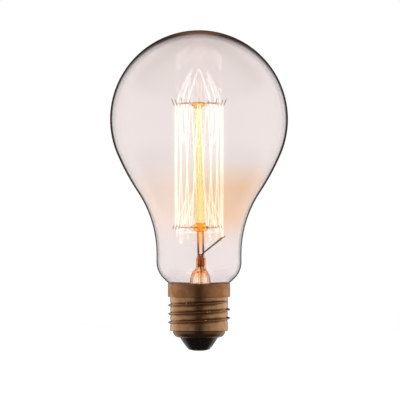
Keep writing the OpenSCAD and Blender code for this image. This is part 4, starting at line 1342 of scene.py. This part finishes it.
class LAMP_OT_side_joint(LampOperator, Operator):
    """Drop the solder over the notch, and bake the cement under the rim"""

    bl_idname = "filament_lamp.side_joint"
    bl_label = "Side solder and cement"

    def make(self, lamp, at):
        tin = bpy.data.materials["dull_solder"]
        make_piece("side_solder_drop", self.drop(lamp.cap, at), ["side_solder"], tin)
        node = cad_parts["basing_cement"]
        node.data.materials.clear()
        node.data.materials.append(cement_finish())

    def drop(self, cap, at):
        """The drop: an uneven disc bent round the collar, pressed flat and cut off at the rim."""
        collar, size = cap.collar / 2, cap.solder_drop
        spread, proud, rise = 1.28 * MM, 0.13 * MM, 20
        mid_z = at.rim_z - size / 2
        rows = []
        for reach in [i / rise for i in range(rise + 1)]:
            swell = proud * math.sqrt(max(0.0, 1 - reach**4))
            row = []
            for a in full_turn(40):
                wobble = 1 + 0.05 * math.sin(3 * a + 0.6) + 0.03 * math.sin(5 * a)
                x = spread * reach * wobble * math.cos(a)
                z = mid_z + spread * reach * wobble * math.sin(a)
                z = min(z, at.rim_z - 0.02 * MM - 0.1 * MM * abs(x) / size)
                row.append((x, math.sqrt(collar**2 - x * x) + swell, z))
            rows.append(row if reach else row[:1])
        return lofted(rows + [[(0, collar - cap.sheet, mid_z)]])


class LAMP_OT_stage(LampOperator, Operator):
    """Set the pale floor, the soft lamps, the room and the camera"""

    bl_idname = "filament_lamp.stage"
    bl_label = "Floor, lamps and camera"

    def make(self, lamp, at):
        stage, scene = lamp.stage, bpy.context.scene
        self.light_room(stage, scene)
        reach = 1.5
        corners = ((-reach, -reach), (reach, -reach), (reach, reach), (-reach, reach))
        mesh = new_mesh("floor", [(x, y, stage.floor) for x, y in corners], [(0, 1, 2, 3)])
        floor = placed("floor", mesh)
        mesh.materials.append(self.floor_finish())
        aim = Vector((0, 0, stage.aim_z))
        for name, direction, away, rise, size, watts in (
            ("left_lamp", -84, 0.75, 0.10, (0.30, 0.9), stage.side_light),
            ("right_lamp", 84, 0.75, 0.10, (0.30, 0.9), stage.side_light),
            ("top_lamp", 150, 0.30, 0.75, (0.9, 0.9), stage.top_light),
        ):
            place = around(math.radians(direction), away, stage.aim_z + rise)
            light = bpy.data.lights.new(name, "AREA")
            light.shape, light.size, light.size_y, light.energy = "RECTANGLE", *size, watts
            holder = placed(name, light)
            holder.location = place
            holder.rotation_euler = (aim - place).to_track_quat("-Z", "Y").to_euler()
            holder.visible_camera = holder.visible_transmission = holder.visible_glossy = False
            self.spare_bulb(holder)
        camera = bpy.data.cameras.new("camera")
        camera.sensor_width = 36
        camera.lens = 36 * stage.distance / stage.width
        camera.clip_end = 100
        holder = placed("camera", camera)
        holder.location = (stage.aim_x, -stage.distance, stage.aim_z)
        holder.rotation_euler = (math.pi / 2, 0, 0)
        scene.camera = holder
        scene.view_settings.view_transform = "Standard"

    def spare_bulb(self, light):
        """Keeps a lamp's own mirror image out of the clear bulb."""
        left_out = bpy.data.collections.new(f"{light.name}_spares")
        left_out.objects.link(bpy.data.objects["blown_bulb"])
        left_out.collection_objects[0].light_linking.link_state = "EXCLUDE"
        light.light_linking.receiver_collection = left_out

    def unmirrored(self, tree):
        """1 for a ray that no mirror has turned, and 0 once mirrored."""
        return sums(tree, "LESS_THAN", light_path(tree, "Glossy Depth"), 0.5)

    def straight_ray(self, tree):
        """1 for a ray that comes straight from the eye, also through glass, and 0 once mirrored."""
        seen = larger(tree, light_path(tree, "Is Camera Ray"), light_path(tree, "Is Transmission Ray"))
        return times(tree, seen, self.unmirrored(tree))

    def light_room(self, stage, scene):
        """A white room to the eye and through glass. Mirrors show it dark in front and straight
        behind, light at the sides and dim above, and matt surfaces get its plain light."""
        world = bpy.data.worlds.new("pale_room")
        world.use_nodes = True
        scene.world = world
        tree = world.node_tree
        way = put(tree, "ShaderNodeTexCoord").outputs["Generated"]
        x, y, z = put(tree, "ShaderNodeSeparateXYZ", {0: way}).outputs
        turn = sums(tree, "ABSOLUTE", sums(tree, "ARCTAN2", x, times(tree, y, -1.0)))
        around_room = put(tree, "ShaderNodeValToRGB", {0: sums(tree, "DIVIDE", turn, math.pi)})
        stops = around_room.color_ramp.elements
        for k, (degrees, level) in enumerate(ROOM_LEVELS):
            stop = stops[k] if k < 2 else stops.new(1.0)
            stop.position = degrees / 180
            stop.color = (level, level, level, 1)
        # x, y and z are how far a ray goes across, to the back and up. Straight behind is a dim
        # patch and below a brown ground. The ceiling comes lower behind, and opens at its sides.
        walls = mixed(tree, ramped(tree, y, 0.87, 0.935), around_room.outputs[0], stage.behind)
        walls = mixed(tree, ramped(tree, z, -0.35, -0.8), walls, (0.10, 0.065, 0.045))
        across = sums(tree, "ABSOLUTE", x)
        lower = times(tree, ramped(tree, z, 0.13, 0.36), ramped(tree, y, 0.68, 0.88))
        above = larger(tree, ramped(tree, z, 0.30, 0.60), lower)
        opened = times(tree, ramped(tree, across, 0.12, 0.55, 0.0, 0.8), ramped(tree, y, 0.2, 0.6))
        ceiling = mixed(tree, ramped(tree, across, 0.04, 0.14), stage.ceiling, (0.035, 0.02, 0.018))
        mirrored = mixed(tree, times(tree, above, rest_of(tree, opened)), walls, ceiling)
        room = mixed(tree, self.unmirrored(tree), mirrored, (stage.ambient,) * 3)
        room = mixed(tree, self.straight_ray(tree), room, WHITE)
        tree.links.new(room, tree.nodes["Background"].inputs["Color"])

    def floor_finish(self):
        """Pale paper that looks white to the eye and through glass, and keeps the shadow."""
        made, tree = new_finish("floor_paper", Roughness=0.9, Emission_Color=WHITE)
        fibres = grain(tree, 0.02, 0.3, 0.7)
        return finished(
            made,
            Base_Color=mixed(tree, fibres, (0.80, 0.80, 0.80), (0.82, 0.82, 0.82)),
            Emission_Strength=times(tree, self.straight_ray(tree), 0.38),
            Alpha=self.unmirrored(tree),
        )


class LAMP_PT_parts(Panel):
    """Lists the lamp's pieces in the order in which they are made"""

    bl_idname = "LAMP_PT_parts"
    bl_label = "Filament Lamp"
    bl_space_type = "VIEW_3D"
    bl_region_type = "UI"
    bl_category = "Lamp"

    def draw(self, context):
        for step in STEPS:
            self.layout.operator(step.bl_idname)
        lamp = context.scene.filament_lamp
        for group in (lamp.bulb, lamp.stem, lamp.cage, lamp.cap, lamp.finish, lamp.stage):
            box = self.layout.box()
            for name in group.bl_rna.properties.keys():
                if name not in ("rna_type", "name"):
                    box.prop(group, name)


STEPS = (
    LAMP_OT_bulb,
    LAMP_OT_stem,
    LAMP_OT_rod,
    LAMP_OT_buttons,
    LAMP_OT_hooks,
    LAMP_OT_filament,
    LAMP_OT_leads,
    LAMP_OT_cap_wires,
    LAMP_OT_screw_shell,
    LAMP_OT_insulator,
    LAMP_OT_contact,
    LAMP_OT_side_joint,
    LAMP_OT_stage,
)
GROUPS = (BulbSizes, StemSizes, CageSizes, CapSizes, Finishes, StageSettings, LampSettings)


def register():
    """Registers the lamp's settings, operators and panel."""
    for kind in (*GROUPS, *STEPS, LAMP_PT_parts):
        bpy.utils.register_class(kind)
    bpy.types.Scene.filament_lamp = PointerProperty(type=LampSettings)


def unregister():
    """Takes them out again, in the reverse order."""
    del bpy.types.Scene.filament_lamp
    for kind in reversed((*GROUPS, *STEPS, LAMP_PT_parts)):
        bpy.utils.unregister_class(kind)


def main():
    """Makes the lamp and its stage."""
    register()
    for step in STEPS:
        getattr(bpy.ops.filament_lamp, step.bl_idname.split(".")[1])()


if __name__ == "__main__":
    main()
